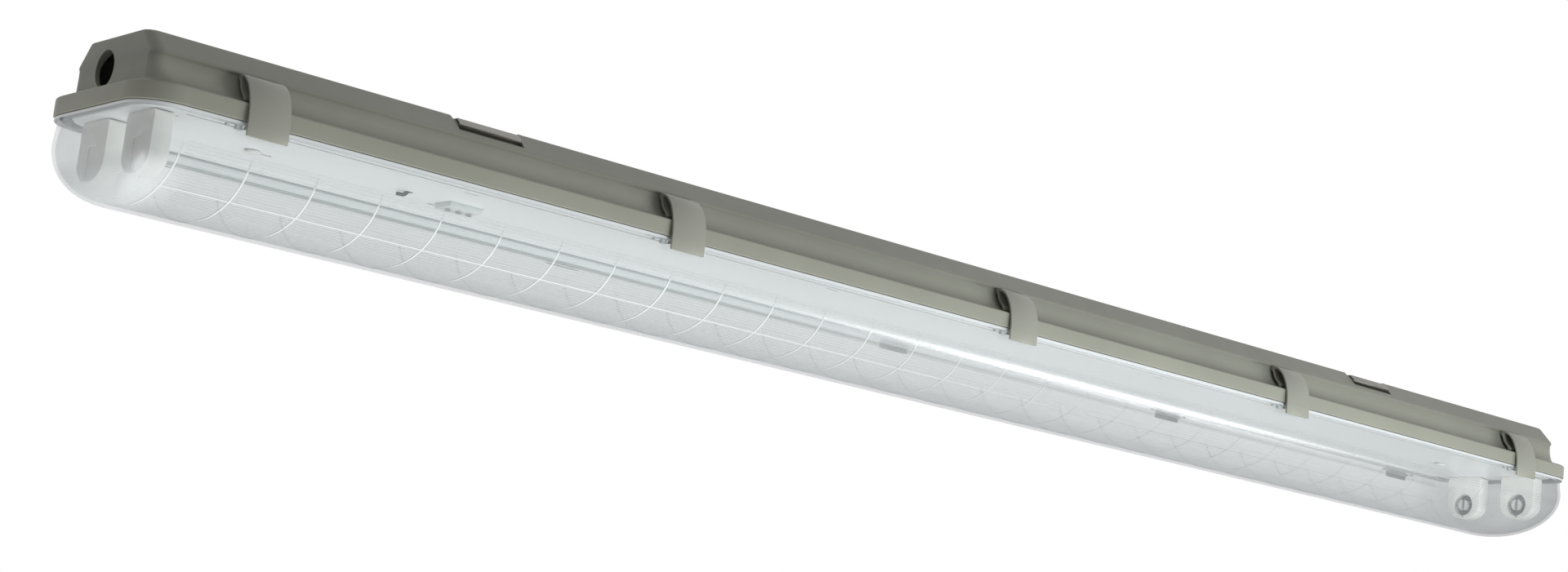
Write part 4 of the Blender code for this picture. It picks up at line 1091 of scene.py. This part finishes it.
@dataclass
class Diffuser:
    """The clear cover: tongue, flange, deep bowl, cross ribs, lengthwise prisms and flange lugs."""

    half_length: float = HALF_LENGTH
    half_width: float = HALF_WIDTH
    corner: float = RIM_CORNER
    tongue_top: float = 37.3 * MM
    tongue_inset: float = 3.4 * MM
    tongue: float = 2.2 * MM
    flange_inset: float = FLANGE_INSET
    flange_top: float = 40.8 * MM
    flange_foot: float = FLANGE_FOOT
    edge_soft: float = 0.5 * MM
    foot_soft: float = 1.1 * MM
    root_soft: float = 0.8 * MM
    inset: float = 2.8 * MM
    draft: float = 0.7 * MM
    bowl_depth: float = 54.0 * MM
    bowl_drop: float = 34.5 * MM
    floor_half: float = 3.0 * MM
    end_reach: float = 20.0 * MM
    corner_share: float = 0.625
    floor_corner_share: float = 0.8
    skin: float = 2.0 * MM
    rib_pitch: float = 40.0 * MM
    rib_count: int = 31
    rib_shift: float = -2.5 * MM
    rib_width: float = 1.0 * MM
    rib_height: float = 0.55 * MM
    rib_top: float = 57.0 * MM
    rib_steps: int = 34
    rib_run: tuple[float, ...] = (-1.0, -0.7, 0.0, 0.7, 1.0)
    rib_arch: tuple[float, ...] = (-0.4, 0.7, 1.0, 0.7, -0.4)
    rib_wide_from: float = 0.05
    rib_widening: float = 14.0
    rib_narrow_to: float = 0.12
    rib_narrowing: float = 7.0
    bar_sink: float = 0.4
    line_turn: float = 50.0
    line_width: float = 0.9 * MM
    line_half: float = 604.0 * MM
    far_line_depth: float = 48.9 * MM
    band_top: float = 41.4 * MM
    band_foot: float = 46.4 * MM
    band_height: float = 0.1 * MM
    strip_half: float = 603.0 * MM
    far_shade_depth: float = 47.4 * MM
    far_shade_width: float = 1.9 * MM
    near_shade_depth: float = 43.8 * MM
    near_shade_width: float = 0.4 * MM
    shade_height: float = 0.15 * MM
    prism_count: int = 22
    prism_width: float = 0.5 * MM
    prism_height: float = 0.25 * MM
    prism_half: float = 600.0 * MM
    prism_end_turn: float = 66.0
    prism_samples: int = 200
    clip_pitch: float = CLIP_PITCH
    lug_places: tuple[float, float, float] = (-21.0 * MM, -14.6 * MM, 14.4 * MM)
    lug_widths: tuple[float, float, float] = (2.4 * MM, 4.0 * MM, 2.4 * MM)
    lug_drops: tuple[float, float, float] = (1.4 * MM, 2.2 * MM, 1.4 * MM)
    lug_depth: float = 3.0 * MM
    lug_inset: float = 1.9 * MM
    lug_corner: float = 0.9 * MM
    lug_gap: float = 0.02 * MM
    wall_gap: float = 0.05 * MM
    cover_angle: float = 50.0
    rib_angle: float = 60.0
    bar_angle: float = 20.0

    def bowl(self, turn: np.ndarray, skin: float) -> np.ndarray:
        """Rows of the bowl: width = F + (R - s) cos(t), depth = B + (D - s) sin(t).

        Args:
            turn: Angles t from the wall (0) to the floor (a quarter turn).
            skin: Thickness s by which the rows lie inside the bowl.

        Returns:
            Rows of half length, half width, corner and depth.
        """
        across = np.clip(np.cos(turn), 0, None)
        top = self.inset + self.draft
        inset = top + self.reach() - (self.reach() - skin) * across
        end_inset = top + self.end_reach - (self.end_reach - skin) * across
        foot = self.floor_corner_share * self.floor_half
        corner = foot + (self.corner_share * self.corner - foot) * np.sqrt(across) - skin
        depth = self.bowl_depth + (self.bowl_drop - skin) * np.sin(turn)
        return np.stack([self.half_length - end_inset, self.half_width - inset, corner, depth], axis=1)

    def wall(self) -> float:
        """Half width inside the straight part of the long walls."""
        return self.half_width - self.tongue_inset - self.tongue - self.wall_gap

    def reach(self) -> float:
        """Half width of the bowl's curve, from the floor's edge to the wall."""
        return self.half_width - self.inset - self.draft - self.floor_half

    def rib_start(self) -> float:
        """Angle of the section at which the ribs and prisms start, in radians."""
        return math.asin((self.rib_top - self.bowl_depth) / (self.bowl_drop - self.skin))

    def ring(self, inset: float, depth: float) -> list[float]:
        """One row at an inset from the rim."""
        return [self.half_length - inset, self.half_width - inset, self.corner - inset, depth]

    def build_cover(self) -> bpy.types.Object:
        """Loft the cover's outside and inside as one closed shell.

        Returns:
            The cover without its ribs.
        """
        soft, inner_edge = self.edge_soft, self.tongue_inset + self.tongue
        head = rounded(np.array([
            self.ring(self.tongue_inset + self.tongue / 2, self.tongue_top),
            self.ring(self.tongue_inset, self.tongue_top),
            self.ring(self.tongue_inset, self.flange_top),
            self.ring(self.flange_inset, self.flange_top),
            self.ring(self.flange_inset, self.flange_foot),
            self.ring(self.inset, self.flange_foot),
            self.bowl(np.zeros(1), 0.0)[0],
        ]), [0, soft, 0, soft, self.foot_soft, self.root_soft, 0])
        turn = sweep(0, 90, 31)
        outer = np.concatenate([head, self.bowl(turn, 0.0)[1:]])
        inner = np.concatenate([self.bowl(turn[::-1], self.skin),
                                [self.ring(inner_edge, self.tongue_top + soft),
                                 self.ring(inner_edge - soft, self.tongue_top)]])
        signs = plan_signs(arc_steps=14, long_steps=0, short_steps=0)
        count, rows = len(signs), len(outer) + len(inner)
        points = plan_rings(np.concatenate([outer, inner]), signs)
        quads = grid_faces(rows, count, closed=True).reshape(rows, count, 4)
        quads = np.delete(quads, len(outer) - 1, axis=0).reshape(-1, 4)
        floor = np.arange(count) + (len(outer) - 1) * count
        faces = quads.tolist() + [floor[::-1].tolist(), (floor + count).tolist()]
        return make_piece("cover", points, faces, self.cover_angle)

    def section(self, turn: np.ndarray, side: Side) -> tuple[np.ndarray, np.ndarray]:
        """Points on the inside of the bowl's half ellipse, and the directions that point into it.

        Point = (side * (F + (R - s) cos(t)), -B - (D - s) sin(t)); the direction is the gradient
        of the ellipse, turned inwards.

        Args:
            turn: Angles from the wall (0) to the bottom (a quarter turn).
            side: Long side.

        Returns:
            Points (y, z) and unit normals (y, z).
        """
        wide, deep = self.reach() - self.skin, self.bowl_drop - self.skin
        place = pairs(side.value * (self.floor_half + wide * np.cos(turn)),
                      -self.bowl_depth - deep * np.sin(turn))
        inward = pairs(-side.value * np.cos(turn) / wide, np.sin(turn) / deep)
        return place, inward / np.linalg.norm(inward, axis=1, keepdims=True)

    def build_ribs(self, side: Side) -> bpy.types.Object:
        """Cross ribs of one side: a low arch carried down the section, pointed at the centre line.

        Point = section(s) + h * height(q) * normal(s), at x = x_k + w / 2 * taper(s) * run(q), where
        run and height trace half an arch and close under the skin, and taper narrows both ends.

        Args:
            side: Side that the ribs run down.

        Returns:
            All cross ribs of the side as one piece.
        """
        path, normal = self.section(np.linspace(self.rib_start(), np.pi / 2, self.rib_steps), side)
        path, normal = np.concatenate([path, path[-1:] * [0, 1]]), np.concatenate([normal, normal[-1:]])
        run, height = np.array(self.rib_run), np.array(self.rib_arch)
        along = np.linspace(0, 1, len(path))
        taper = np.clip(np.minimum(along * self.rib_widening + self.rib_wide_from,
                                   (1 - along) * self.rib_narrowing + self.rib_narrow_to), 0, 1)
        x_k = (np.arange(self.rib_count) - (self.rib_count - 1) / 2) * self.rib_pitch + self.rib_shift
        lift = (self.rib_height * height[None, :] * taper[:, None])[None, :, :, None]
        points = np.empty((self.rib_count, len(path), len(run), 3))
        points[..., 0] = x_k[:, None, None] + self.rib_width / 2 * taper[None, :, None] * run[None, None, :]
        points[..., 1:] = path[None, :, None, :] + lift * normal[None, :, None, :]
        index = np.arange(len(path) * len(run))
        rib = grid_faces(len(path), len(run)).tolist() + [
            index[:len(run)].tolist(), index[-len(run):][::-1].tolist()]
        faces = repeated(rib, self.rib_count, len(index))
        return outwards(make_piece("cross_ribs_" + side.label, points, faces, self.rib_angle))

    def build_lines(self, name: str, places: np.ndarray, normals: np.ndarray, width: float, height: float,
                    half_length: float) -> bpy.types.Object:
        """Lengthwise bars of triangular section, with their foot sunk in the skin.

        Args:
            name: Name of the piece.
            places: Rows (y, z) on the bowl's inner skin.
            normals: Unit normals (y, z) at those places.
            width: Width of a bar on the skin.
            height: Height of a bar above the skin.
            half_length: Half length of the bars.

        Returns:
            The bars as one piece.
        """
        tangent = pairs(-normals[:, 1], normals[:, 0])
        foot = places - normals * height * self.bar_sink
        section = np.stack([foot - tangent * width / 2, places + normals * height,
                            foot + tangent * width / 2], axis=1)
        points = np.empty((len(places), 2, 3, 3))
        points[..., 0] = half_length * np.array([-1.0, 1.0])[None, :, None]
        points[..., 1:] = section[:, None]
        bar = grid_faces(2, 3).tolist() + [[0, 1, 2], [5, 4, 3]]
        return outwards(make_piece(name, points, repeated(bar, len(places), 6), self.bar_angle))

    def build_prisms(self) -> bpy.types.Object:
        """Fine lengthwise prisms, evenly spaced along the section of the bowl.

        Returns:
            All prisms as one piece.
        """
        turn = np.linspace(self.rib_start(), math.radians(self.prism_end_turn), self.prism_samples)
        path, _ = self.section(turn, Side.NEAR)
        length = np.concatenate([[0], np.cumsum(np.linalg.norm(np.diff(path, axis=0), axis=1))])
        chosen = np.interp(np.linspace(0, length[-1], self.prism_count), length, turn)
        near, far = self.section(chosen, Side.NEAR), self.section(chosen, Side.FAR)
        places, normals = (np.concatenate(pair) for pair in zip(near, far))
        return self.build_lines("prisms", places, normals, self.prism_width, self.prism_height,
                                self.prism_half)

    def build_main_lines(self) -> bpy.types.Object:
        """The wider lengthwise lines: one low on the near side, one high on the far wall.

        Returns:
            The lines as one piece.
        """
        place, normal = self.section(np.radians([self.line_turn]), Side.NEAR)
        places = np.concatenate([place, [[self.wall(), -self.far_line_depth]]])
        normals = np.concatenate([normal, [[-1.0, 0.0]]])
        return self.build_lines("long_ribs", places, normals, self.line_width, self.rib_height,
                                self.line_half)

    def build_strip(self, name: str, side: Side, depth: float, width: float,
                    height: float) -> bpy.types.Object:
        """A flat lengthwise strip inside one long wall.

        Args:
            name: Name of the piece.
            side: Long side.
            depth: Depth of its middle.
            width: Width up and down the wall.
            height: How far it stands off the wall.

        Returns:
            The strip.
        """
        place = np.array([[side.value * self.wall(), -depth]])
        return self.build_lines(name, place, np.array([[-side.value, 0.0]]), width, height, self.strip_half)

    def build_shade_lines(self) -> bpy.types.Object:
        """Painted shade lines under the flange, inside both long walls: broad far, for the shadow in the gap
        by the tray's edge, and thin near, at the flange's foot.

        Returns:
            The lines as one piece.
        """
        return join_pieces("shade_lines", [
            self.build_strip("shade_" + side.label, side, depth, width, self.shade_height)
            for side, depth, width in ((Side.FAR, self.far_shade_depth, self.far_shade_width),
                                       (Side.NEAR, self.near_shade_depth, self.near_shade_width))])

    def build_band(self) -> bpy.types.Object:
        """A pale strip of painted light on the far wall, between the flange and its shade line, where light
        falls in the gap.

        Returns:
            The strip.
        """
        middle, width = (self.band_top + self.band_foot) / 2, self.band_foot - self.band_top
        return self.build_strip("far_band", Side.FAR, middle, width, self.band_height)

    def build_lugs(self) -> bpy.types.Object:
        """Small lugs that stand on the flange beside each clip.

        Returns:
            The lugs of both long sides as one piece.
        """
        pieces = []
        out = self.half_width - self.flange_inset - self.lug_inset
        for side in Side:
            for step in range(-2, 3):
                for place, width, drop in zip(self.lug_places, self.lug_widths, self.lug_drops):
                    outline = rounded_box(width, self.lug_depth, self.lug_corner,
                                          (step * self.clip_pitch + place, side.value * out), steps=3)
                    pieces.append(prism("lug", outline, -self.flange_foot - drop,
                                        -self.flange_foot - self.lug_gap, "Z"))
        return join_pieces("flange_lugs", pieces)

    def dress(self) -> None:
        """Build every piece of the cover and give each its finish."""
        cover = self.build_cover()
        near_ribs, far_ribs = self.build_ribs(Side.NEAR), self.build_ribs(Side.FAR)
        prisms = self.build_prisms()
        lines = self.build_main_lines()
        shade_lines = self.build_shade_lines()
        lugs = self.build_lugs()
        light_strip = self.build_band()
        # The far strip is painted light and the shade lines are painted shade; the cover's finish carries
        # painted shade and highlights too.
        clear, rib, faint = DIFFUSER_CLEAR.material(), RIB_CLEAR.material(), PRISM_CLEAR.material()
        for piece, finish in ((cover, clear), (near_ribs, rib), (far_ribs, faint),
                              (lines, LINE_CLEAR.material()), (light_strip, PAINTED_LIGHT_BAND.material()), (prisms, faint),
                              (lugs, LUG_CLEAR.material()), (shade_lines, SHADE_CLEAR.material())):
            paint(piece, finish)
            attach(piece, "luminaire")
        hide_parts("diffuser")


@dataclass
class SideClips:
    """Ten sprung clips: an arched plate with a hook and tab, a pivot barrel and an inner leg."""

    pitch: float = CLIP_PITCH
    width: float = 24.4 * MM
    thickness: float = 1.4 * MM
    clearance: float = 1.4 * MM
    pivot_half: float = 45.4 * MM
    pivot_depth: float = 15.3 * MM
    barrel: float = 1.6 * MM
    rim_half: float = HALF_WIDTH
    rim_depth: float = RIM_FOOT
    flange_half: float = HALF_WIDTH - FLANGE_INSET
    flange_foot: float = FLANGE_FOOT
    bite: float = 1.0 * MM
    sweep_gap: float = 0.35 * MM
    nose: float = 0.7 * MM
    hook: float = 3.0 * MM
    tab: float = 2.8 * MM
    tab_bevel: float = 0.3 * MM
    leg_offset: float = 2.9 * MM
    leg: float = 1.2 * MM
    bead: float = 1.2 * MM
    bead_turn: float = 68.0
    gap: float = 0.3 * MM
    cove_reach: float = FOOT_HALF - COVE_HALF
    cove_drop: float = FOOT_DEPTH - COVE_DEPTH
    cove_depth: float = COVE_DEPTH
    foot_half: float = FOOT_HALF
    soft_edge: float = 0.22 * MM
    soft_angle: float = 60.0

    def leg_points(self, turn: np.ndarray, offset: float) -> np.ndarray:
        """Points of the leg: the cove's ellipse drawn in by an offset, measured from the pivot.

        Args:
            turn: Angles along the ellipse.
            offset: How far inside the cove the points lie.

        Returns:
            Points, outward and up.
        """
        width = self.foot_half - (self.cove_reach - offset) * np.cos(turn) - self.pivot_half
        height = self.pivot_depth - self.cove_depth - (self.cove_drop - offset) * np.sin(turn)
        return pairs(width, height)

    def outline(self) -> np.ndarray:
        """The clip's side view, outward and up from its pivot.

        The plate is the quarter ellipse (a sin t, belt + b cos t), inside and outside, with
        a and b less by the plate's thickness inside.

        Returns:
            Corner points of the closed outline.
        """
        reach = self.rim_half + self.clearance + self.thickness - self.pivot_half
        rise = self.rim_depth - self.pivot_depth + self.barrel
        inner_reach, inner_rise = reach - self.thickness, rise - self.thickness
        belt = self.pivot_depth - self.rim_depth
        out, drop = self.flange_half - self.pivot_half, self.flange_foot - self.pivot_depth
        swing = math.hypot(out, drop) + self.sweep_gap
        tip = out - self.bite
        tip_top = -math.sqrt(swing ** 2 - tip ** 2)
        root_top = -math.sqrt(swing ** 2 - inner_reach ** 2)
        foot = root_top - self.hook - self.tab
        turn, back = sweep(0, 90, 22), sweep(90, 14, 20)
        leg_out, leg_in = self.leg_offset + self.leg / 2, self.leg_offset - self.leg / 2
        bead_at = self.leg_points(np.radians([self.bead_turn]), self.bead + self.gap)[0]
        return np.concatenate([
            arc(self.barrel, sweep(180, 100, 6)),
            pairs(reach * np.sin(turn), belt + rise * np.cos(turn)),
            [[reach, foot + self.tab_bevel], [reach - self.tab_bevel, foot], [inner_reach, foot],
             [inner_reach, root_top - self.hook], [tip, tip_top - self.nose], [tip, tip_top],
             [inner_reach, root_top]],
            pairs(inner_reach * np.sin(back), belt + inner_rise * np.cos(back)),
            [[self.barrel, -self.barrel / 2]],
            self.leg_points(sweep(20, 60, 9), leg_out),
            bead_at + arc(self.bead, sweep(70, -180, 14)),
            self.leg_points(sweep(54, 14, 9), leg_in),
            arc(self.barrel, sweep(-140, -175, 4))])

    def build(self, side: Side, number: int) -> bpy.types.Object:
        """One clip at rest.

        Args:
            side: Long side that it holds.
            number: Its number along the side, from 1 to 5.

        Returns:
            The clip with soft edges.
        """
        outline = (np.array([self.pivot_half, -self.pivot_depth]) + self.outline()) * [side.value, 1]
        x = (number - 3) * self.pitch
        clip = prism("side_clip_" + side.label + "_" + str(number), outline,
                     x - self.width / 2, x + self.width / 2, angle=self.soft_angle)
        return soften(clip, self.soft_edge, segments=2, angle=self.soft_angle)

    def dress(self) -> None:
        """Build all ten clips, each on its own moving body."""
        # The far clips' paler finish is painted light; near and far clips are the same plastic.
        finishes = {Side.NEAR: CLIP_OLIVE.material(), Side.FAR: CLIP_PAINTED_LIGHT.material()}
        for side in Side:
            row = side.label
            for number in range(1, 6):
                clip = self.build(side, number)
                paint(clip, finishes[side])
                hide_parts("clip_" + row + "_" + str(number))
                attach(clip, row + "_clip_" + str(number))


@dataclass
class Lampholders:
    """Four lampholders with round sockets, pin entries, rotors and contact pockets."""

    offset: float = 25.0 * MM
    axis_depth: float = 63.5 * MM
    front: float = 602.5 * MM
    thickness: float = 11.0 * MM
    half: float = 15.0 * MM
    drop: float = 11.0 * MM
    shoulder: float = 41.3 * MM
    cheek_radius: float = 2.0 * MM
    foot_half: float = 8.0 * MM
    foot_top: float = 36.2 * MM
    socket: float = 8.7 * MM
    socket_depth: float = 7.0 * MM
    slot: float = 2.8 * MM
    slot_corner: float = 0.3 * MM
    pocket_width: float = 8.0 * MM
    pocket_height: float = 18.0 * MM
    pocket_depth: float = 0.5 * MM
    pocket_corner: float = 1.6 * MM
    soft_edge: float = 0.9 * MM
    soft_angle: float = 45.0

    def outline(self) -> np.ndarray:
        """Front view about the lamp's axis: a half ellipse below, straight cheeks, and the foot.

        Returns:
            Points (y, z).
        """
        shoulder, foot = self.axis_depth - self.shoulder, self.axis_depth - self.foot_top
        turn, radius = sweep(180, 360, 33), self.cheek_radius
        right = np.array([self.half - radius, shoulder - radius]) + arc(radius, sweep(0, 90, 5))
        return np.concatenate([
            [[self.foot_half, shoulder], [self.foot_half, foot], [-self.foot_half, foot],
             [-self.foot_half, shoulder]],
            right[::-1] * [-1, 1], pairs(self.half * np.cos(turn), self.drop * np.sin(turn)), right])

    def build(self, end: End, side: Side) -> bpy.types.Object:
        """One lampholder body.

        Args:
            end: End of the luminaire.
            side: Side that its lamp runs on.

        Returns:
            The body with its socket, pin entry and contact pocket cut.
        """
        y, z = side.value * self.offset, -self.axis_depth

        def span(start: float, stop: float) -> list[float]:
            """Lowest and highest X of two distances from the middle, towards this end."""
            return sorted((end.value * start, end.value * stop))

        back = self.front + self.thickness
        name = "holder_" + end.label + "_" + side.label
        holder = prism(name, self.outline() + [y, z], *span(self.front, back))
        reach = span(self.front - OVERRUN, self.front + self.socket_depth)
        height = self.drop + OVERRUN
        entry = rounded_box(self.slot, height, self.slot_corner, (y, z - height / 2), steps=2)
        pocket = rounded_box(self.pocket_width, self.pocket_height, self.pocket_corner, (y, z), steps=4)
        combine(holder, [
            prism("socket_cut", circle(self.socket, steps=48, centre=(y, z)), *reach),
            prism("entry_cut", entry, *reach),
            prism("pocket_cut", pocket, *span(back - self.pocket_depth, back + OVERRUN))])
        return soften(holder, self.soft_edge, segments=3, angle=self.soft_angle)

    def dress(self, nodes: dict[str, bpy.types.Object]) -> None:
        """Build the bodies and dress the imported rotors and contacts.

        Args:
            nodes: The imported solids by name.
        """
        white, rotor, brass = HOLDER_WHITE.material(), ROTOR_RING_SHADED.material(), BRASS.material()
        for end in End:
            for side in Side:
                label = end.label + "_" + side.label
                holder = self.build(end, side)
                paint(holder, white)
                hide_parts("lampholder_" + label)
                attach(holder, "luminaire")
                dress_node(nodes["rotor_" + label], rotor)
                dress_node(nodes["contact_" + label + "_1"], brass)
                dress_node(nodes["contact_" + label + "_2"], brass)


@dataclass
class GearTray:
    """The white tray with its terminal block, ballast, leads and catches."""

    edge_in: float = 46.5 * MM
    edge_out: float = 52.9 * MM
    edge_half: float = 598.0 * MM
    edge_foot: float = 41.1 * MM
    edge_thickness: float = 0.5 * MM
    terminal_soft: float = 0.5 * MM
    ballast_soft: float = 0.8 * MM
    catch_soft: float = 0.25 * MM
    screw_soft: float = 0.3 * MM

    def refine(self, nodes: dict[str, bpy.types.Object], node: str, name: str, width: float,
               finish: bpy.types.Material, body: str = "luminaire") -> None:
        """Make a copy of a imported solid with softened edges, which stands for it.

        Args:
            nodes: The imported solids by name.
            node: The solid that is copied.
            name: Name of the new piece.
            width: Width of the softened edges.
            finish: Material.
            body: Body that it moves with.
        """
        piece = soften(merged_copy(name, nodes[node]), width, segments=2, angle=COPY_ANGLE)
        paint(piece, finish)
        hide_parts(node)
        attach(piece, body)

    def build_edges(self) -> bpy.types.Object:
        """Flat strips between the tray's long edges and the cover.

        Returns:
            The strips of both sides as one piece.
        """
        edges = []
        for side in Side:
            low, high = sorted((side.value * self.edge_in, side.value * self.edge_out))
            outline = np.array([(-self.edge_half, low), (self.edge_half, low),
                                (self.edge_half, high), (-self.edge_half, high)])
            edges.append(prism("tray_edge", outline, -self.edge_foot,
                               -self.edge_foot + self.edge_thickness, "Z"))
        return join_pieces("tray_edges", edges)

    def dress(self, nodes: dict[str, bpy.types.Object]) -> None:
        """Dress the tray and everything on it.

        Args:
            nodes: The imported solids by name.
        """
        white = TRAY_WHITE.material()
        dress_node(nodes["gear_tray"], white)
        strip = self.build_edges()
        paint(strip, white)
        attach(strip, "luminaire")
        pale, steel = TERMINAL_CLEAR.material(), SCREW_STEEL.material()
        self.refine(nodes, "terminal_block", "terminal_body", self.terminal_soft, pale)
        case = BALLAST_GREY.material()
        self.refine(nodes, "ballast", "ballast_case", self.ballast_soft, case)
        rotor = ROTOR_WHITE.material()
        for end in End:
            row = end.label
            self.refine(nodes, "tray_catch_" + row, "quarter_turn_" + row, self.catch_soft, rotor,
                        row + "_catch")
            self.refine(nodes, "ballast_screw_" + row, "case_screw_" + row, self.screw_soft, steel)
        for number in (1, 2, 3):
            dress_node(nodes["terminal_screw_" + str(number)], steel)
        pale_lead, black_lead = LEAD_WHITE.material(), LEAD_BLACK.material()
        for name in ("lead_supply", "lead_lamp_left_near", "lead_lamp_left_far",
                     "lead_lamp_right_near", "lead_lamp_right_far"):
            dress_node(nodes[name], pale_lead)
        dress_node(nodes["lead_earth"], black_lead)


@dataclass
class CeilingBrackets:
    """The two stainless straps in the canopy's saddles."""

    soft_edge: float = 0.2 * MM

    def dress(self, nodes: dict[str, bpy.types.Object]) -> None:
        """Soften the straps' edges and give them rolled stainless steel.

        Args:
            nodes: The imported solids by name.
        """
        finish = STAINLESS.material()
        for end in End:
            row = end.label
            strap = merged_copy("strap_" + row, nodes["ceiling_bracket_" + row])
            soften(strap, self.soft_edge, segments=2, angle=COPY_ANGLE)
            paint(strap, finish)
            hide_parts("ceiling_bracket_" + row)
            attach(strap, "luminaire")


# Studio

DAYLIGHT = (1.0, 1.0, 1.0)
COOL = (0.92, 0.98, 1.0)


@dataclass(frozen=True)
class Lamp:
    """A soft rectangular lamp: where it stands and aims, its size and power, and if mirrors show it."""

    name: str
    place: Place
    target: Place
    width: float
    height: float
    power: float
    colour: Colour
    mirrored: bool

    def build(self) -> None:
        """Create the lamp, aimed at its target."""
        data = bpy.data.lights.new(self.name, "AREA")
        data.shape = "RECTANGLE"
        data.size, data.size_y = self.width, self.height
        data.energy = self.power
        data.color = self.colour
        lamp = new_object(self.name, data)
        lamp.visible_camera = False
        lamp.visible_glossy = self.mirrored
        lamp.location = self.place
        lamp.rotation_euler = (Vector(self.target) - Vector(self.place)).to_track_quat("-Z", "Y").to_euler()


@dataclass
class Studio:
    """Camera, soft lamps, a pale world and a plain floor."""

    camera_place: Place = (-1.235418, -1.291213, -0.338665)
    camera_turn: Place = (100.06076, -6.37680, -41.10874)
    lens: float = 62.8279
    sensor: float = 36.0
    shift_y: float = 0.003524
    nearest: float = 0.01
    farthest: float = 60.0
    floor_depth: float = 9.0
    floor_half: float = 150.0
    floor_colour: Colour = (0.90, 0.90, 0.90)
    floor_roughness: float = 0.9
    world_colour: Colour = (0.985, 0.992, 1.0)
    world_strength: float = 0.45
    lamps: tuple[Lamp, ...] = (
        Lamp("key", (1.98, -1.47, -1.25), (0.15, 0.0, -0.06), 0.66, 0.6, 15.0, DAYLIGHT, True),
        Lamp("wash", (1.7, -1.6, -0.2), (0.25, 0.0, -0.03), 1.2, 0.9, 15.0, COOL, False),
        Lamp("front", (0.25, -1.1, -0.35), (0.12, 0.0, -0.03), 0.5, 0.5, 11.0, COOL, False),
        Lamp("corner", (-1.25, -0.1, -1.5), (-0.6, 0.0, -0.07), 0.9, 0.8, 6.0, DAYLIGHT, True),
        Lamp("low", (-0.35, -0.15, -1.4), (-0.2, 0.0, -0.06), 2.6, 0.9, 28.0, DAYLIGHT, False))

    def camera(self) -> None:
        """Create the camera at the photograph's viewpoint."""
        data = bpy.data.cameras.new("camera")
        data.lens = self.lens
        data.sensor_width = self.sensor
        data.sensor_fit = "HORIZONTAL"
        data.shift_y = self.shift_y
        data.clip_start, data.clip_end = self.nearest, self.farthest
        camera = new_object("camera", data)
        camera.location = self.camera_place
        camera.rotation_euler = Euler([math.radians(angle) for angle in self.camera_turn])
        bpy.context.scene.camera = camera

    def see_white(self, tree: bpy.types.NodeTree) -> bpy.types.NodeSocket:
        """A value of 1 for rays that see the background directly, in a mirror or through the cover.

        Args:
            tree: The world's node tree.

        Returns:
            The value.
        """
        path = tree.nodes.new("ShaderNodeLightPath")
        total = path.outputs["Is Camera Ray"]
        for name in ("Is Glossy Ray", "Is Transmission Ray"):
            largest = tree.nodes.new("ShaderNodeMath")
            largest.operation = "MAXIMUM"
            tree.links.new(total, largest.inputs[0])
            tree.links.new(path.outputs[name], largest.inputs[1])
            total = largest.outputs["Value"]
        return total

    def world(self) -> None:
        """A pale world that lights softly and shows white."""
        world = bpy.data.worlds.new("studio")
        bpy.context.scene.world = world
        world.use_nodes = True
        tree = world.node_tree
        soft, white = tree.nodes["Background"], tree.nodes.new("ShaderNodeBackground")
        soft.inputs["Color"].default_value = (*self.world_colour, 1)
        soft.inputs["Strength"].default_value = self.world_strength
        white.inputs["Color"].default_value = (1, 1, 1, 1)
        white.inputs["Strength"].default_value = 1.0
        mix = tree.nodes.new("ShaderNodeMixShader")
        tree.links.new(self.see_white(tree), mix.inputs["Fac"])
        tree.links.new(soft.outputs["Background"], mix.inputs[1])
        tree.links.new(white.outputs["Background"], mix.inputs[2])
        tree.links.new(mix.outputs["Shader"], tree.nodes["World Output"].inputs["Surface"])

    def floor(self) -> None:
        """A plain pale floor well below the luminaire."""
        across = np.linspace(-self.floor_half, self.floor_half, 9)
        x, y = np.meshgrid(across, across, indexing="ij")
        points = np.stack([x, y, np.full_like(x, -self.floor_depth)], axis=-1)
        floor = make_piece("floor", points, grid_faces(9, 9, around=False).tolist())
        sketch = NodeSketch("floor_pale")
        sketch.look("Base Color", (*self.floor_colour, 1))
        sketch.look("Roughness", self.floor_roughness)
        paint(floor, sketch.material)

    def build(self) -> None:
        """Set up the whole studio."""
        bpy.context.scene.view_settings.view_transform = "Standard"
        self.world()
        self.camera()
        for lamp in self.lamps:
            lamp.build()
        self.floor()


def main() -> None:
    """Build the luminaire's looks and its studio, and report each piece."""
    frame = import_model()
    nodes = frame["nodes"]
    Studio().build()
    for part in (Canopy(), Diffuser(), SideClips()):
        part.dress()
    for part in (Lampholders(), GearTray(), CeilingBrackets()):
        part.dress(nodes)
    dress_node(nodes["seal"], SEAL_FOAM.material())
    for piece in bpy.data.objects:
        if piece.type == "MESH" and piece.name not in nodes:
            LOG.info("piece %s, %d faces", piece.name, len(piece.data.polygons))


if __name__ == "__main__":
    logging.basicConfig(level=logging.INFO)
    main()
